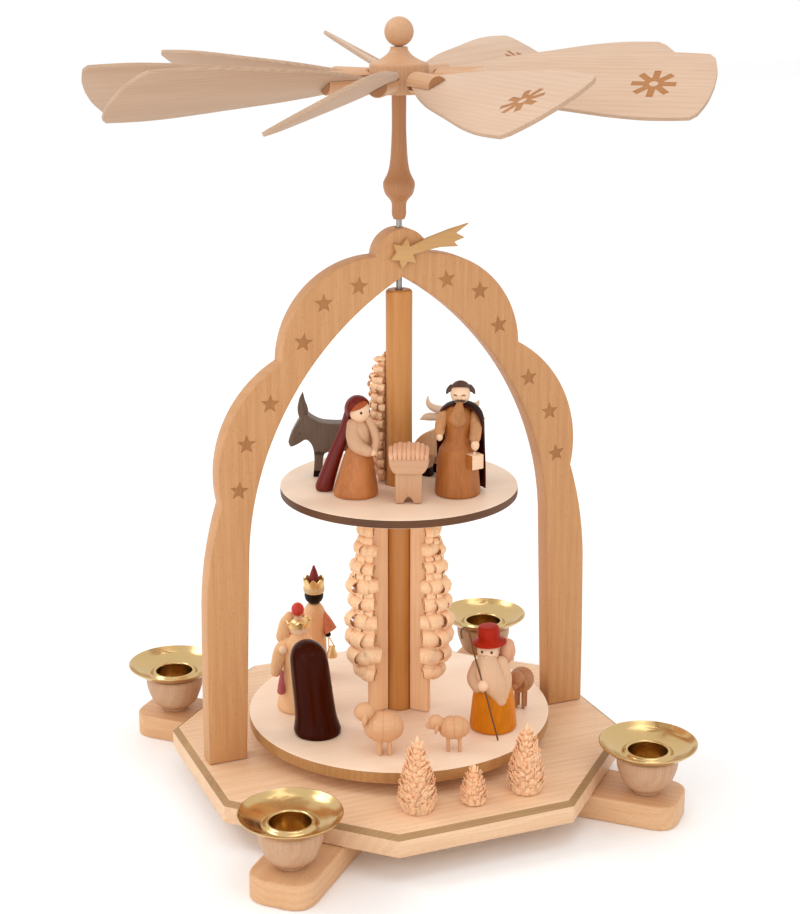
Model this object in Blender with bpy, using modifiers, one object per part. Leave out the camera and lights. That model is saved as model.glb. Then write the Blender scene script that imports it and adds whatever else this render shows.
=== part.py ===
"""Candle carousel: a crossed foot with four candle sockets, a scalloped arch and a turning shaft
with two decks of figures under a wheel of nine paddles.

Metres, +Z up. The origin is on the shaft's axis at the height of the table, and the arch stands
along X."""

import math

import bmesh
import bpy
from mathutils import Matrix, Vector

# Fits and mesh fineness
CLEARANCE = 0.0003
RUNNING_CLEARANCE = 0.0004
OVERRUN = 0.002
ROUND_STEPS = 24
DISC_STEPS = 40
CUP_STEPS = 18
SMALL_STEPS = 12
ARC_STEPS = 8

# Foot bars and base plate
FOOT_THICKNESS = 0.0120
FOOT_WIDTH = 0.031
FOOT_BEYOND_CUP = 0.0172
FOOT_CORNER = 0.009
FOOT_TURN = math.radians(45.6)
PLATE_RADIUS = 0.1118
PLATE_THICKNESS = 0.0102
PLATE_CHAMFER = 0.003
PLATE_SIDES = 8

# Candle cups and drip trays
CUP_TO_PLATE = 0.0075
CUP_HEIGHT = 0.0185
CUP_RADIUS = 0.0145
CUP_FOOT_RADIUS = 0.0064
CUP_BORE_DEPTH = 0.0135
SOCKET_RADIUS = 0.0091
SOCKET_DEPTH = 0.0125
TRAY_WALL = 0.0006
TRAY_LIP_RADIUS = 0.0109
TRAY_LIP_HEIGHT = 0.0018
TRAY_RADIUS = 0.023
TRAY_RISE = 0.0056

# Arch
ARCH_INSET = 0.0048
ARCH_HEIGHT = 0.2480
ARCH_THICKNESS = 0.010
ARCH_CROWN = 0.0220
BUSH_RADIUS = 0.0030
SPINDLE_RADIUS = 0.00135

# Shaft, decks and bearing
SHAFT_RADIUS = 0.0062
SHAFT_TO_ARCH = 0.0063
SHAFT_LIFT = 0.0036
LOWER_DISC_INSET = 0.0300
LOWER_DISC_THICKNESS = 0.0056
LOWER_DISC_TOP = 0.0119
UPPER_DISC_RADIUS = 0.0562
UPPER_DISC_THICKNESS = 0.0040
UPPER_HEADROOM = 0.0995
BEARING_RADIUS = 0.0040
BEARING_HEIGHT = 0.0062
BEARING_SEAT_DEPTH = 0.0050
BEARING_CUP_DEPTH = 0.0040

# Paddle wheel
WHEEL_ABOVE_ARCH = 0.0660
HUB_RADIUS = 0.0132
HUB_HOLE_HEIGHT = 0.0058
HUB_THICKNESS = 0.0130
HUB_NECK_RADIUS = 0.0038
HUB_NECK_HEIGHT = 0.0071
HUB_BORE_DEPTH = 0.0070
STEM_ABOVE_ARCH = 0.0040
STEM_RADIUS = 0.0033
STEM_BULGE_RADIUS = 0.0072
STEM_BULGE_LIFT = 0.0152
SPINDLE_IN_STEM = 0.0260
BALL_RADIUS = 0.0065
BALL_PIN_RADIUS = 0.0018
BALL_PIN_LENGTH = 0.0050
BLADE_HEADINGS = (-87.7, -43.2, -5.6, 35.5, 75.3, 116.0, 155.3, 193.0, 233.8)
BLADE_PITCHES = (26.7, 30.0, 28.0, 27.5, 28.0, 26.5, 31.0, 29.5, 28.0)
BLADE_DROOPS = (0.2, -0.4, -0.6, -0.3, -1.2, 1.2, 2.2, 0.3, -0.2)
BLADE_ROOT = 0.0185
BLADE_TIP = 0.1408
BLADE_HALF_WIDTH = 0.0238
BLADE_THICKNESS = 0.0018
PEG_RADIUS = 0.0048
PEG_START = 0.0170
PEG_END = 0.0395
PEG_TENON_RADIUS = 0.0018
PEG_TENON_DEPTH = 0.0045

# Comet star on the arch
COMET_STAR_RADIUS = 0.0072
COMET_TAIL_LENGTH = 0.0335
COMET_THICKNESS = 0.0020
COMET_DROP = 0.0108

# Trees
TREE_BATTEN_WIDTH = 0.0095
TREE_BATTEN_THICKNESS = 0.0038
TREE_CURL_THICKNESS = 0.0150
LOWER_TREE_REACH = 0.0278
LOWER_TREE_BARE = 0.0200
UPPER_TREE_REACH = 0.0165
UPPER_TREE_HEIGHT = 0.0632
PLATE_TREE_TALL = 0.0360
PLATE_TREE_SHORT = 0.0190
PLATE_TREE_MIDDLE = 0.0335
PLATE_TREE_WIDE_SPACE = 0.0056
PLATE_TREE_NARROW_SPACE = 0.0072
PLATE_TREE_MIDDLE_SPACE = 0.0072
TREE_STEPS = 10

# Figures
FIGURE_TURN = math.radians(-22.5)
MOTHER_HEIGHT = 0.0475
FATHER_HEIGHT = 0.0540
CRIB_HEIGHT = 0.0270
CRIB_DEPTH = 0.0120
DONKEY_HEIGHT = 0.0400
DONKEY_THICKNESS = 0.0085
DONKEY_TO_TREE = 0.0246
DONKEY_HEADING = math.radians(138.75)
OX_HEIGHT = 0.0400
OX_THICKNESS = 0.0120
OX_TURN = math.radians(-30)
CLOAKED_KING_HEIGHT = 0.0464
CROWNED_KING_HEIGHT = 0.0540
DARK_KING_HEIGHT = 0.0600
SHEPHERD_HEIGHT = 0.0524
STAFF_LENGTH = 0.0520
STAFF_RADIUS = 0.0006
LAMB_LEFT_HEIGHT = 0.0249
LAMB_RIGHT_HEIGHT = 0.0172
SHEEP_HEIGHT = 0.0218
SHEEP_TURN = math.radians(68)
FIGURE_STEPS = 14

# Widths that follow the plate, measured from the axis to the middle of its side
PLATE_FLAT = PLATE_RADIUS * math.cos(math.pi / PLATE_SIDES)
CUP_CIRCLE_RADIUS = PLATE_FLAT + CUP_TO_PLATE + CUP_RADIUS
FOOT_REACH = CUP_CIRCLE_RADIUS + FOOT_BEYOND_CUP
ARCH_HALF_WIDTH = PLATE_FLAT - ARCH_INSET
LOWER_DISC_RADIUS = PLATE_FLAT - LOWER_DISC_INSET
SHAFT_BORE = SPINDLE_RADIUS + CLEARANCE

# Heights that follow the foot, the plate and the arch
CUP_BASE = FOOT_THICKNESS + CLEARANCE
PLATE_TOP = CUP_BASE + PLATE_THICKNESS
ARCH_APEX = PLATE_TOP + ARCH_HEIGHT - ARCH_CROWN
ARCH_TOP = PLATE_TOP + ARCH_HEIGHT
LOWER_DECK = PLATE_TOP + LOWER_DISC_TOP
UPPER_DECK = ARCH_APEX - UPPER_HEADROOM
STEM_LOW = ARCH_TOP + STEM_ABOVE_ARCH
SPINDLE_TOP = STEM_LOW + SPINDLE_IN_STEM
WHEEL_Z = ARCH_TOP + WHEEL_ABOVE_ARCH

BEECH = ((0.70, 0.46, 0.27), 0.55, 0.0)
MAPLE = ((0.78, 0.60, 0.42), 0.55, 0.0)
PEAR = ((0.60, 0.33, 0.17), 0.50, 0.0)
OILED = ((0.55, 0.30, 0.12), 0.50, 0.0)
BRASS = ((0.83, 0.66, 0.30), 0.18, 1.0)
STEEL = ((0.45, 0.43, 0.40), 0.30, 1.0)
GREY_STAIN = ((0.16, 0.14, 0.12), 0.50, 0.0)
BROWN_STAIN = ((0.50, 0.24, 0.11), 0.50, 0.0)
DARK_STAIN = ((0.05, 0.02, 0.015), 0.25, 0.0)
OCHRE_STAIN = ((0.62, 0.33, 0.05), 0.50, 0.0)
STRAW = ((0.75, 0.55, 0.32), 0.60, 0.0)


def clear_scene():
    for obj in list(bpy.data.objects):
        bpy.data.objects.remove(obj)


def new_collection(name):
    collection = bpy.data.collections.new(name)
    bpy.context.scene.collection.children.link(collection)
    return collection


def material(name, look):
    colour, roughness, metallic = look
    made = bpy.data.materials.get(name) or bpy.data.materials.new(name)
    made.use_nodes = True
    shader = made.node_tree.nodes["Principled BSDF"]
    shader.inputs["Base Color"].default_value = (*colour, 1)
    shader.inputs["Roughness"].default_value = roughness
    shader.inputs["Metallic"].default_value = metallic
    return made


def add_piece(name, mesh):
    obj = bpy.data.objects.new(name, mesh)
    pieces.objects.link(obj)
    return obj


def finished(obj, look_name, look, parent=None, place=(0, 0, 0)):
    """Gives a piece its material, its parent and its place."""
    obj.data.materials.clear()
    obj.data.materials.append(material(look_name, look))
    obj.parent = parent
    obj.location = place
    return obj


def as_helper(obj, owner):
    """Turns a piece into a cutter or joined form that belongs to its owner and isn't rendered."""
    pieces.objects.unlink(obj)
    cutters.objects.link(obj)
    obj.hide_render = True
    obj.display_type = "WIRE"
    obj.parent = owner


def combine(owner, others, operation):
    for other in others:
        as_helper(other, owner)
        modifier = owner.modifiers.new(other.name, "BOOLEAN")
        modifier.operation = operation
        modifier.object = other
    return owner


def join(owner, *others):
    return combine(owner, others, "UNION")


def cut(owner, *others):
    return combine(owner, others, "DIFFERENCE")


def turned(name, profile, steps, closed=False):
    """A turned shape about Z. The (radius, height) points run down its outer side."""
    mesh = bpy.data.meshes.new(name)
    count = len(profile)
    edges = [(i, i + 1) for i in range(count - 1)] + ([(count - 1, 0)] if closed else [])
    mesh.from_pydata([(radius, 0, height) for radius, height in profile], edges, [])
    obj = add_piece(name, mesh)
    screw = obj.modifiers.new("turn", "SCREW")
    screw.steps = screw.render_steps = steps
    screw.use_merge_vertices = True
    screw.merge_threshold = 0.00001
    screw.use_smooth_shade = True
    return obj


def scaled(shares, radius, height):
    """A profile's points from shares of its radius and height."""
    return [(radius * across, height * up) for across, up in shares]


def ring(name, inner, outer, low, high, steps):
    return turned(name, [(inner, high), (outer, high), (outer, low), (inner, low)], steps, closed=True)


def solid_copy(obj, matrix=None):
    """The evaluated, welded mesh of a curve or turned piece, in its place."""
    bpy.context.view_layer.update()
    evaluated = obj.evaluated_get(bpy.context.evaluated_depsgraph_get())
    mesh = bpy.data.meshes.new_from_object(evaluated)
    bm = bmesh.new()
    bm.from_mesh(mesh)
    bmesh.ops.remove_doubles(bm, verts=bm.verts, dist=0.000001)
    bmesh.ops.transform(bm, matrix=matrix or Matrix(), verts=bm.verts)
    bmesh.ops.recalc_face_normals(bm, faces=bm.faces)
    bm.to_mesh(mesh)
    bm.free()
    name, matrix_world = obj.name, obj.matrix_world.copy()
    bpy.data.objects.remove(obj)
    copy = add_piece(name, mesh)
    copy.name = name
    copy.matrix_world = matrix_world
    return copy


def curve_object(name, points, radii=None, cyclic=False):
    curve = bpy.data.curves.new(name, "CURVE")
    curve.dimensions = "3D" if radii else "2D"
    spline = curve.splines.new("POLY")
    spline.points.add(len(points) - 1)
    for i, point in enumerate(points):
        spline.points[i].co = (*point, 1) if radii else (*point, 0, 1)
        if radii:
            spline.points[i].radius = radii[i] / max(radii)
    spline.use_cyclic_u = cyclic
    return add_piece(name, curve)


def plate(name, outline, thickness):
    """A flat outline drawn in X and Y, given its thickness about Z = 0."""
    obj = curve_object(name, outline, cyclic=True)
    obj.data.fill_mode = "BOTH"
    obj.data.extrude = thickness / 2
    return solid_copy(obj)


def upright(name, outline, thickness):
    """A flat outline drawn in X and Z, given its thickness about Y = 0."""
    obj = curve_object(name, outline, cyclic=True)
    obj.data.fill_mode = "BOTH"
    obj.data.extrude = thickness / 2
    return solid_copy(obj, Matrix.Rotation(math.radians(90), 4, "X"))


def limb(name, points, radii, resolution=1):
    """A round tapering limb through the points."""
    obj = curve_object(name, points, radii)
    obj.data.bevel_depth = max(radii)
    obj.data.bevel_resolution = resolution
    obj.data.use_fill_caps = True
    return solid_copy(obj)


def box(name, size, centre):
    mesh = bpy.data.meshes.new(name)
    bm = bmesh.new()
    bmesh.ops.create_cube(bm, size=1, matrix=Matrix.Translation(centre) @ Matrix.Diagonal((*size, 1)))
    bm.to_mesh(mesh)
    bm.free()
    return add_piece(name, mesh)


def ball(name, radii, centre, steps=10, rings=6):
    mesh = bpy.data.meshes.new(name)
    bm = bmesh.new()
    matrix = Matrix.Translation(centre) @ Matrix.Diagonal((*radii, 1))
    bmesh.ops.create_uvsphere(bm, u_segments=steps, v_segments=rings, radius=1, matrix=matrix)
    bm.to_mesh(mesh)
    bm.free()
    mesh.shade_smooth()
    return add_piece(name, mesh)


def cylinder(name, radius, low, high, steps):
    profile = [(0, high), (radius, high), (radius, low), (0, low)]
    return turned(name, profile, steps)


def empty(name, place=(0, 0, 0), parent=None, turn=0.0):
    obj = bpy.data.objects.new(name, None)
    pieces.objects.link(obj)
    obj.location = place
    obj.rotation_euler.z = turn
    obj.parent = parent
    return obj


def arc(start, end, bulge, steps):
    """Points on an arc from start up to, not including, end. It bulges to the chord's right."""
    start, end = Vector(start), Vector(end)
    chord = end - start
    half = chord.length / 2
    radius = (half * half + bulge * bulge) / (2 * bulge)
    right = Vector((chord.y, -chord.x)).normalized()
    centre = (start + end) / 2 + right * (bulge - radius)
    sweep = 2 * math.asin(half / radius)
    first = start - centre
    turn = [Matrix.Rotation(sweep * i / steps, 2) for i in range(steps)]
    return [tuple(centre + step @ first) for step in turn]


def ring_places(radius, height, first_angle, count):
    """Evenly spread places on a circle about the axis."""
    angles = [first_angle + 2 * math.pi * i / count for i in range(count)]
    return [(radius * math.cos(angle), radius * math.sin(angle), height) for angle in angles]


# Foot and base plate

def foot_bar_outline():
    half_length, half_width, corner = FOOT_REACH, FOOT_WIDTH / 2, FOOT_CORNER
    inset = half_length - corner, half_width - corner
    outline = []
    for quarter in range(4):
        sign_x = 1 if quarter in (0, 3) else -1
        sign_y = 1 if quarter in (0, 1) else -1
        for step in range(5):
            angle = math.radians(90) * (quarter + step / 4)
            outline.append((sign_x * inset[0] + corner * math.cos(angle),
                            sign_y * inset[1] + corner * math.sin(angle)))
    return outline


def make_foot_bars():
    """Two bars, half-lapped at the middle. The long one runs through underneath."""
    half_lap = FOOT_THICKNESS / 2
    for name, turn, notch_side in (("foot_bar_long", 0, 1), ("foot_bar_cross", math.pi / 2, -1)):
        bar = plate(name, foot_bar_outline(), FOOT_THICKNESS)
        notch_width = FOOT_WIDTH + 2 * CLEARANCE
        notch_size = (notch_width, FOOT_WIDTH + 2 * OVERRUN, half_lap + OVERRUN + CLEARANCE / 2)
        notch_z = notch_side * (notch_size[2] / 2 - CLEARANCE / 2)
        cut(bar, box(name + "_notch", notch_size, (0, 0, notch_z)))
        finished(bar, "beech", BEECH, place=(0, 0, FOOT_THICKNESS / 2))
        bar.rotation_euler.z = FOOT_TURN + turn


def make_base_plate():
    low = FOOT_THICKNESS + CLEARANCE
    profile = [(0, PLATE_TOP), (PLATE_RADIUS - PLATE_CHAMFER, PLATE_TOP),
               (PLATE_RADIUS, PLATE_TOP - PLATE_CHAMFER * 2 / 3), (PLATE_RADIUS, low), (0, low)]
    base = turned("base_plate", profile, PLATE_SIDES)
    base.modifiers["turn"].use_smooth_shade = False
    cut(base, cylinder("bearing_seat", BEARING_RADIUS + CLEARANCE, PLATE_TOP - BEARING_SEAT_DEPTH,
                       PLATE_TOP + OVERRUN, SMALL_STEPS))
    finished(base, "beech", BEECH)
    base.rotation_euler.z = math.pi / PLATE_SIDES


def make_pivot_bearing():
    low = PLATE_TOP - BEARING_SEAT_DEPTH + CLEARANCE
    high = low + BEARING_HEIGHT
    bore = SPINDLE_RADIUS + RUNNING_CLEARANCE
    floor = high - BEARING_CUP_DEPTH
    profile = [(0, floor), (bore, floor), (bore, high), (BEARING_RADIUS, high), (BEARING_RADIUS, low),
               (0, low)]
    finished(turned("pivot_bearing", profile, SMALL_STEPS), "steel", STEEL)
    return floor


# Candle cups and drip trays

CUP_SIDE_SHARES = ((0.97, 1.0), (1.0, 0.93), (0.97, 0.68), (0.865, 0.43), (0.76, 0.25), (0.57, 0.12))


def make_cups_and_trays():
    """A turned cup near each bar's end, with a brass dish and socket in it."""
    bore = SOCKET_RADIUS + TRAY_WALL + CLEARANCE
    floor = CUP_HEIGHT - CUP_BORE_DEPTH
    foot_edge = CUP_HEIGHT * CUP_SIDE_SHARES[-1][1] / 2
    cup_profile = [(0, floor), (bore, floor), (bore, CUP_HEIGHT)]
    cup_profile += scaled(CUP_SIDE_SHARES, CUP_RADIUS, CUP_HEIGHT)
    cup_profile += [(CUP_FOOT_RADIUS, foot_edge), (CUP_FOOT_RADIUS, 0), (0, 0)]

    seat = CUP_HEIGHT + CLEARANCE
    lip_top = seat + TRAY_WALL + TRAY_LIP_HEIGHT
    seat_floor = lip_top - SOCKET_DEPTH
    rim = seat + TRAY_WALL + TRAY_RISE
    outside = SOCKET_RADIUS + TRAY_WALL
    tray_profile = [(0, seat_floor), (SOCKET_RADIUS, seat_floor), (SOCKET_RADIUS, lip_top - TRAY_WALL),
                    ((SOCKET_RADIUS + TRAY_LIP_RADIUS) / 2, lip_top), (TRAY_LIP_RADIUS, lip_top - TRAY_WALL),
                    (TRAY_LIP_RADIUS + TRAY_WALL, seat + TRAY_WALL), (TRAY_RADIUS - TRAY_WALL, rim),
                    (TRAY_RADIUS, rim - TRAY_WALL), (TRAY_LIP_RADIUS + 2 * TRAY_WALL, seat),
                    (outside, seat), (outside, seat_floor - TRAY_WALL), (0, seat_floor - TRAY_WALL)]
    places = ring_places(CUP_CIRCLE_RADIUS, CUP_BASE, FOOT_TURN, 4)
    for number, place in enumerate(places, 1):
        cup = turned(f"candle_cup_{number}", cup_profile, CUP_STEPS)
        finished(cup, "beech", BEECH, place=place)
        tray = turned(f"drip_tray_{number}", tray_profile, CUP_STEPS)
        finished(tray, "brass", BRASS, place=place)


# Arch, bush and comet star

ARCH_OUTER_SHARES = ((1.0, 0.0), (0.990, 0.290), (0.9025, 0.510), (0.602, 0.768), (0.132, 0.9516))
ARCH_BULGE_SHARES = (0.002, 0.022, 0.118, 0.132)
ARCH_INNER_SHARES = ((0.812, 0.0), (0.776, 0.395))
ARCH_INNER_BULGE_SHARE = 0.202


def make_arch():
    """A scalloped board. Each half's outer edge has a leg, a low lobe and a high lobe."""
    outer = [(ARCH_HALF_WIDTH * x, ARCH_HEIGHT * z) for x, z in ARCH_OUTER_SHARES]
    half = []
    for i, share in enumerate(ARCH_BULGE_SHARES):
        steps = (1, 3, ARC_STEPS, ARC_STEPS)[i]
        half += arc(outer[i], outer[i + 1], ARCH_HALF_WIDTH * share, steps)
    crown_bulge = ARCH_HEIGHT - outer[-1][1]
    crown = arc(outer[-1], (-outer[-1][0], outer[-1][1]), crown_bulge, ARC_STEPS)
    mirrored = [(-x, z) for x, z in reversed(half)]
    inner = [(ARCH_HALF_WIDTH * x, ARCH_HEIGHT * z) for x, z in ARCH_INNER_SHARES]
    apex = (0, ARCH_HEIGHT - ARCH_CROWN)
    inside = [inner[0]] + arc(inner[1], apex, ARCH_HALF_WIDTH * ARCH_INNER_BULGE_SHARE, ARC_STEPS)
    outline = half + crown + [(-outer[-1][0], outer[-1][1])] + mirrored
    outline += [(-x, z) for x, z in inside] + [apex] + list(reversed(inside))
    arch = upright("arch", outline, ARCH_THICKNESS)
    low, high = apex[1] - OVERRUN, ARCH_HEIGHT + OVERRUN
    cut(arch, cylinder("arch_bore", BUSH_RADIUS + CLEARANCE, low, high, SMALL_STEPS))
    finished(arch, "beech", BEECH, place=(0, 0, PLATE_TOP + CLEARANCE))

    bush_inner = SPINDLE_RADIUS + RUNNING_CLEARANCE
    bush_low = ARCH_APEX + BUSH_RADIUS - bush_inner
    bush = ring("axle_bush", bush_inner, BUSH_RADIUS, bush_low, ARCH_TOP, SMALL_STEPS)
    finished(bush, "brass", BRASS)


COMET_TAIL_SHARES = ((0.36, 0.20), (0.66, 0.29), (0.945, 0.355), (0.76, 0.235), (0.885, 0.165),
                     (0.73, 0.115), (0.79, 0.05), (0.52, 0.055), (0.30, 0.02))
COMET_DENT_SHARE = 0.56


def make_comet():
    """A six-pointed star whose sixth point is drawn out into a tail with three tips."""
    outline = [(COMET_TAIL_LENGTH * x, COMET_TAIL_LENGTH * z) for x, z in reversed(COMET_TAIL_SHARES)]
    for step in range(1, 12):
        angle = math.radians(20 + 30 * step)
        radius = COMET_STAR_RADIUS * (COMET_DENT_SHARE if step % 2 else 1)
        outline.append((radius * math.cos(angle), radius * math.sin(angle)))
    comet = upright("comet_star", outline, COMET_THICKNESS)
    depth = -(ARCH_THICKNESS / 2 + CLEARANCE + COMET_THICKNESS / 2)
    finished(comet, "pear", PEAR, place=(0, depth, ARCH_TOP - COMET_DROP))


# Axle, shaft and decks

def make_axle(carousel, bearing_floor):
    tip = bearing_floor + CLEARANCE
    point = tip + SPINDLE_RADIUS
    profile = [(0, SPINDLE_TOP), (SPINDLE_RADIUS, SPINDLE_TOP), (SPINDLE_RADIUS, point), (0, tip)]
    finished(turned("spindle", profile, SMALL_STEPS), "steel", STEEL, carousel)

    low, high = PLATE_TOP + SHAFT_LIFT, ARCH_APEX - SHAFT_TO_ARCH
    rounding = SHAFT_RADIUS / 3
    profile = [(SHAFT_BORE, high), (SHAFT_RADIUS - rounding, high), (SHAFT_RADIUS, high - rounding),
               (SHAFT_RADIUS, low), (SHAFT_BORE, low)]
    finished(turned("shaft", profile, ROUND_STEPS, closed=True), "oiled", OILED, carousel)


def make_discs(carousel):
    bore = SHAFT_RADIUS + CLEARANCE
    for name, radius, top, thickness in (
        ("lower_disc", LOWER_DISC_RADIUS, LOWER_DECK, LOWER_DISC_THICKNESS),
        ("upper_disc", UPPER_DISC_RADIUS, UPPER_DECK, UPPER_DISC_THICKNESS),
    ):
        disc = ring(name, bore, radius, top - thickness, top, DISC_STEPS)
        finished(disc, "maple", MAPLE, carousel)


# Paddle wheel

def make_wheel_middle(carousel):
    bottom = WHEEL_Z - HUB_HOLE_HEIGHT
    top = bottom + HUB_THICKNESS
    neck = top + HUB_NECK_HEIGHT
    stem_bore = STEM_RADIUS + CLEARANCE
    pin_bore = BALL_PIN_RADIUS + CLEARANCE
    pin_floor = neck - BALL_PIN_LENGTH - CLEARANCE
    profile = [(0, pin_floor), (pin_bore, pin_floor), (pin_bore, neck), (HUB_NECK_RADIUS, neck),
               ((HUB_NECK_RADIUS + HUB_RADIUS) * 0.4, (top + neck) / 2),
               (HUB_RADIUS, top), (HUB_RADIUS, bottom), (stem_bore, bottom),
               (stem_bore, bottom + HUB_BORE_DEPTH), (0, bottom + HUB_BORE_DEPTH)]
    hub = turned("hub", profile, ROUND_STEPS)
    hole_radius = PEG_TENON_RADIUS + CLEARANCE
    inner = HUB_RADIUS - PEG_TENON_DEPTH - CLEARANCE
    for number, (heading, droop) in enumerate(zip(BLADE_HEADINGS, BLADE_DROOPS), 1):
        hole = cylinder(f"hub_hole_{number}", hole_radius, inner, HUB_RADIUS + OVERRUN, SMALL_STEPS)
        hole.rotation_euler = (0, math.radians(90 + droop), math.radians(heading))
        hole.location.z = WHEEL_Z
        cut(hub, hole)
    finished(hub, "beech", BEECH, carousel)

    high = bottom + HUB_BORE_DEPTH - CLEARANCE
    low = STEM_LOW
    bulge = low + STEM_BULGE_LIFT
    spindle_end = SPINDLE_TOP + CLEARANCE
    bore = SPINDLE_RADIUS + CLEARANCE
    side = STEM_BULGE_RADIUS - STEM_RADIUS
    profile = [(0, high), (STEM_RADIUS, high), (STEM_RADIUS, (high + bulge) / 2),
               (STEM_RADIUS + side * 0.35, bulge + 2 * side), (STEM_BULGE_RADIUS, bulge + side / 3),
               (STEM_BULGE_RADIUS - side / 5, bulge - side), (STEM_RADIUS, (low + bulge) / 2),
               (STEM_RADIUS, low + STEM_RADIUS / 2), (STEM_RADIUS * 0.75, low), (bore, low),
               (bore, spindle_end), (0, spindle_end)]
    finished(turned("stem", profile, ROUND_STEPS), "oiled", OILED, carousel)

    seat = neck + CLEARANCE
    lift = math.sqrt(BALL_RADIUS ** 2 - BALL_PIN_RADIUS ** 2)
    centre = seat + lift
    last = math.pi - math.asin(BALL_PIN_RADIUS / BALL_RADIUS)
    angles = [last * i / ARC_STEPS for i in range(ARC_STEPS + 1)]
    profile = [(BALL_RADIUS * math.sin(angle), centre + BALL_RADIUS * math.cos(angle)) for angle in angles]
    profile += [(BALL_PIN_RADIUS, seat - BALL_PIN_LENGTH), (0, seat - BALL_PIN_LENGTH)]
    finished(turned("finial_ball", profile, ROUND_STEPS), "beech", BEECH, carousel)


BLADE_SIDE_SHARES = ((0.0, 0.13), (0.135, 0.38), (0.233, 0.525), (0.323, 0.63), (0.503, 0.79),
                     (0.666, 0.937), (0.789, 1.0), (0.887, 0.99), (0.950, 0.965), (0.968, 0.93))
BLADE_TIP_SHARES = ((0.993, 0.45), (1.0, 0.0))


def blade_outline():
    """One side from root to tip, then the mirrored side back."""
    length = BLADE_TIP - BLADE_ROOT
    side = [(BLADE_ROOT + length * along, BLADE_HALF_WIDTH * out)
            for along, out in BLADE_SIDE_SHARES + BLADE_TIP_SHARES]
    return [(x, -y) for x, y in side] + [(x, y) for x, y in reversed(side[:-1])]


def make_blades(carousel):
    """Nine paddles in slotted dowels. Each pair turns on its dowel's axis to set the pitch, and the
    headings, pitches and droops are those that the photographed wheel is set to."""
    tenon_end = HUB_RADIUS - PEG_TENON_DEPTH
    slot_width = BLADE_THICKNESS + 2 * CLEARANCE
    slot_start = BLADE_ROOT - CLEARANCE
    slot_length = PEG_END + OVERRUN - slot_start
    rounding = PEG_RADIUS / 6
    for number, heading in enumerate(BLADE_HEADINGS, 1):
        axis = empty(f"blade_axis_{number}", (0, 0, WHEEL_Z), carousel, math.radians(heading))
        axis.rotation_euler.y = math.radians(BLADE_DROOPS[number - 1])
        pitch = math.radians(BLADE_PITCHES[number - 1])
        blade = plate(f"blade_{number}", blade_outline(), BLADE_THICKNESS)
        finished(blade, "maple", MAPLE, axis)
        blade.rotation_euler.x = pitch
        profile = [(0, PEG_END), (PEG_RADIUS, PEG_END), (PEG_RADIUS, PEG_START + rounding),
                   (PEG_RADIUS - rounding, PEG_START), (PEG_TENON_RADIUS, PEG_START),
                   (PEG_TENON_RADIUS, tenon_end), (0, tenon_end)]
        peg = turned(f"blade_peg_{number}", profile, SMALL_STEPS)
        slot = box(f"peg_slot_{number}", (slot_width, 2 * (PEG_RADIUS + OVERRUN), slot_length),
                   (0, 0, slot_start + slot_length / 2))
        cut(peg, slot)
        finished(peg, "beech", BEECH, axis)
        peg.rotation_mode = "ZYX"
        peg.rotation_euler = (pitch, math.radians(90), 0)


# Trees

def curled_outline(inner, rows, reach_at, low, step):
    """The scalloped edge of a shaved tree: one round curl to each row."""
    points = []
    for row in range(rows):
        start = low + row * step
        reach = reach_at(row)
        points += [(inner + (reach - inner) * 0.72, start), (reach, start + step * 0.3),
                   (reach, start + step * 0.7)]
    return points


LOWER_TREE_REACH_SHARES = (0.80, 0.93, 1.0, 0.99, 0.96, 0.92, 0.88, 0.82, 0.74, 0.66)
UPPER_TREE_REACH_SHARES = (1.0, 0.98, 0.93, 0.86, 0.78, 0.68)


def make_half_tree(name, parent, angle, low, high, bare, reach, shares):
    """A batten beside the shaft with curled shavings along its outer edge."""
    inner = SHAFT_RADIUS + CLEARANCE + CLEARANCE
    outer = inner + TREE_BATTEN_WIDTH
    height = high - low
    batten = box(name, (TREE_BATTEN_WIDTH, TREE_BATTEN_THICKNESS, height),
                 ((inner + outer) / 2, 0, height / 2))
    middle = (inner + outer) / 2
    rows = len(shares)
    step = (height - bare) / rows
    edge = curled_outline(middle, rows, lambda row: reach * shares[row], bare, step)
    outline = [(middle, bare)] + edge + [(middle, height - CLEARANCE)]
    curls = upright(name + "_curls", outline, TREE_CURL_THICKNESS)
    join(batten, curls)
    finished(batten, "straw", STRAW, parent, (0, 0, low))
    batten.rotation_euler.z = angle


def make_upper_tree(carousel):
    """A pointed batten behind the shaft on the upper deck."""
    inner = SHAFT_RADIUS + 2 * CLEARANCE
    outer = inner + TREE_BATTEN_WIDTH * 0.4
    height = UPPER_TREE_HEIGHT
    rows = len(UPPER_TREE_REACH_SHARES)
    bare = height * 0.12
    step = (height * 0.8 - bare) / rows
    edge = curled_outline(inner, rows, lambda row: UPPER_TREE_REACH * UPPER_TREE_REACH_SHARES[row],
                          bare, step)
    batten = upright("upper_tree", [(inner, 0), (outer, 0), (outer, height * 0.9), (inner, height)],
                     TREE_BATTEN_THICKNESS)
    curls = upright("upper_tree_curls", [(inner + CLEARANCE, bare)] + edge
                    + [(inner + CLEARANCE, height * 0.84)], TREE_CURL_THICKNESS * 0.6)
    join(batten, curls)
    finished(batten, "straw", STRAW, carousel, (0, 0, UPPER_DECK + CLEARANCE))
    batten.rotation_euler.z = math.radians(127.5)


PLATE_TREE_SHARES = ((0.0, 1.0), (0.14, 0.88), (0.34, 0.80), (0.24, 0.78), (0.60, 0.62), (0.48, 0.60),
                     (0.84, 0.44), (0.74, 0.42), (1.0, 0.22), (0.94, 0.06), (0.80, 0.0), (0.0, 0.0))
PLATE_TREE_WIDTH_SHARES = (0.197, 0.285, 0.237)
PLATE_TREE_HEADINGS = (-107.1, -89.4, -71.5)


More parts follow.
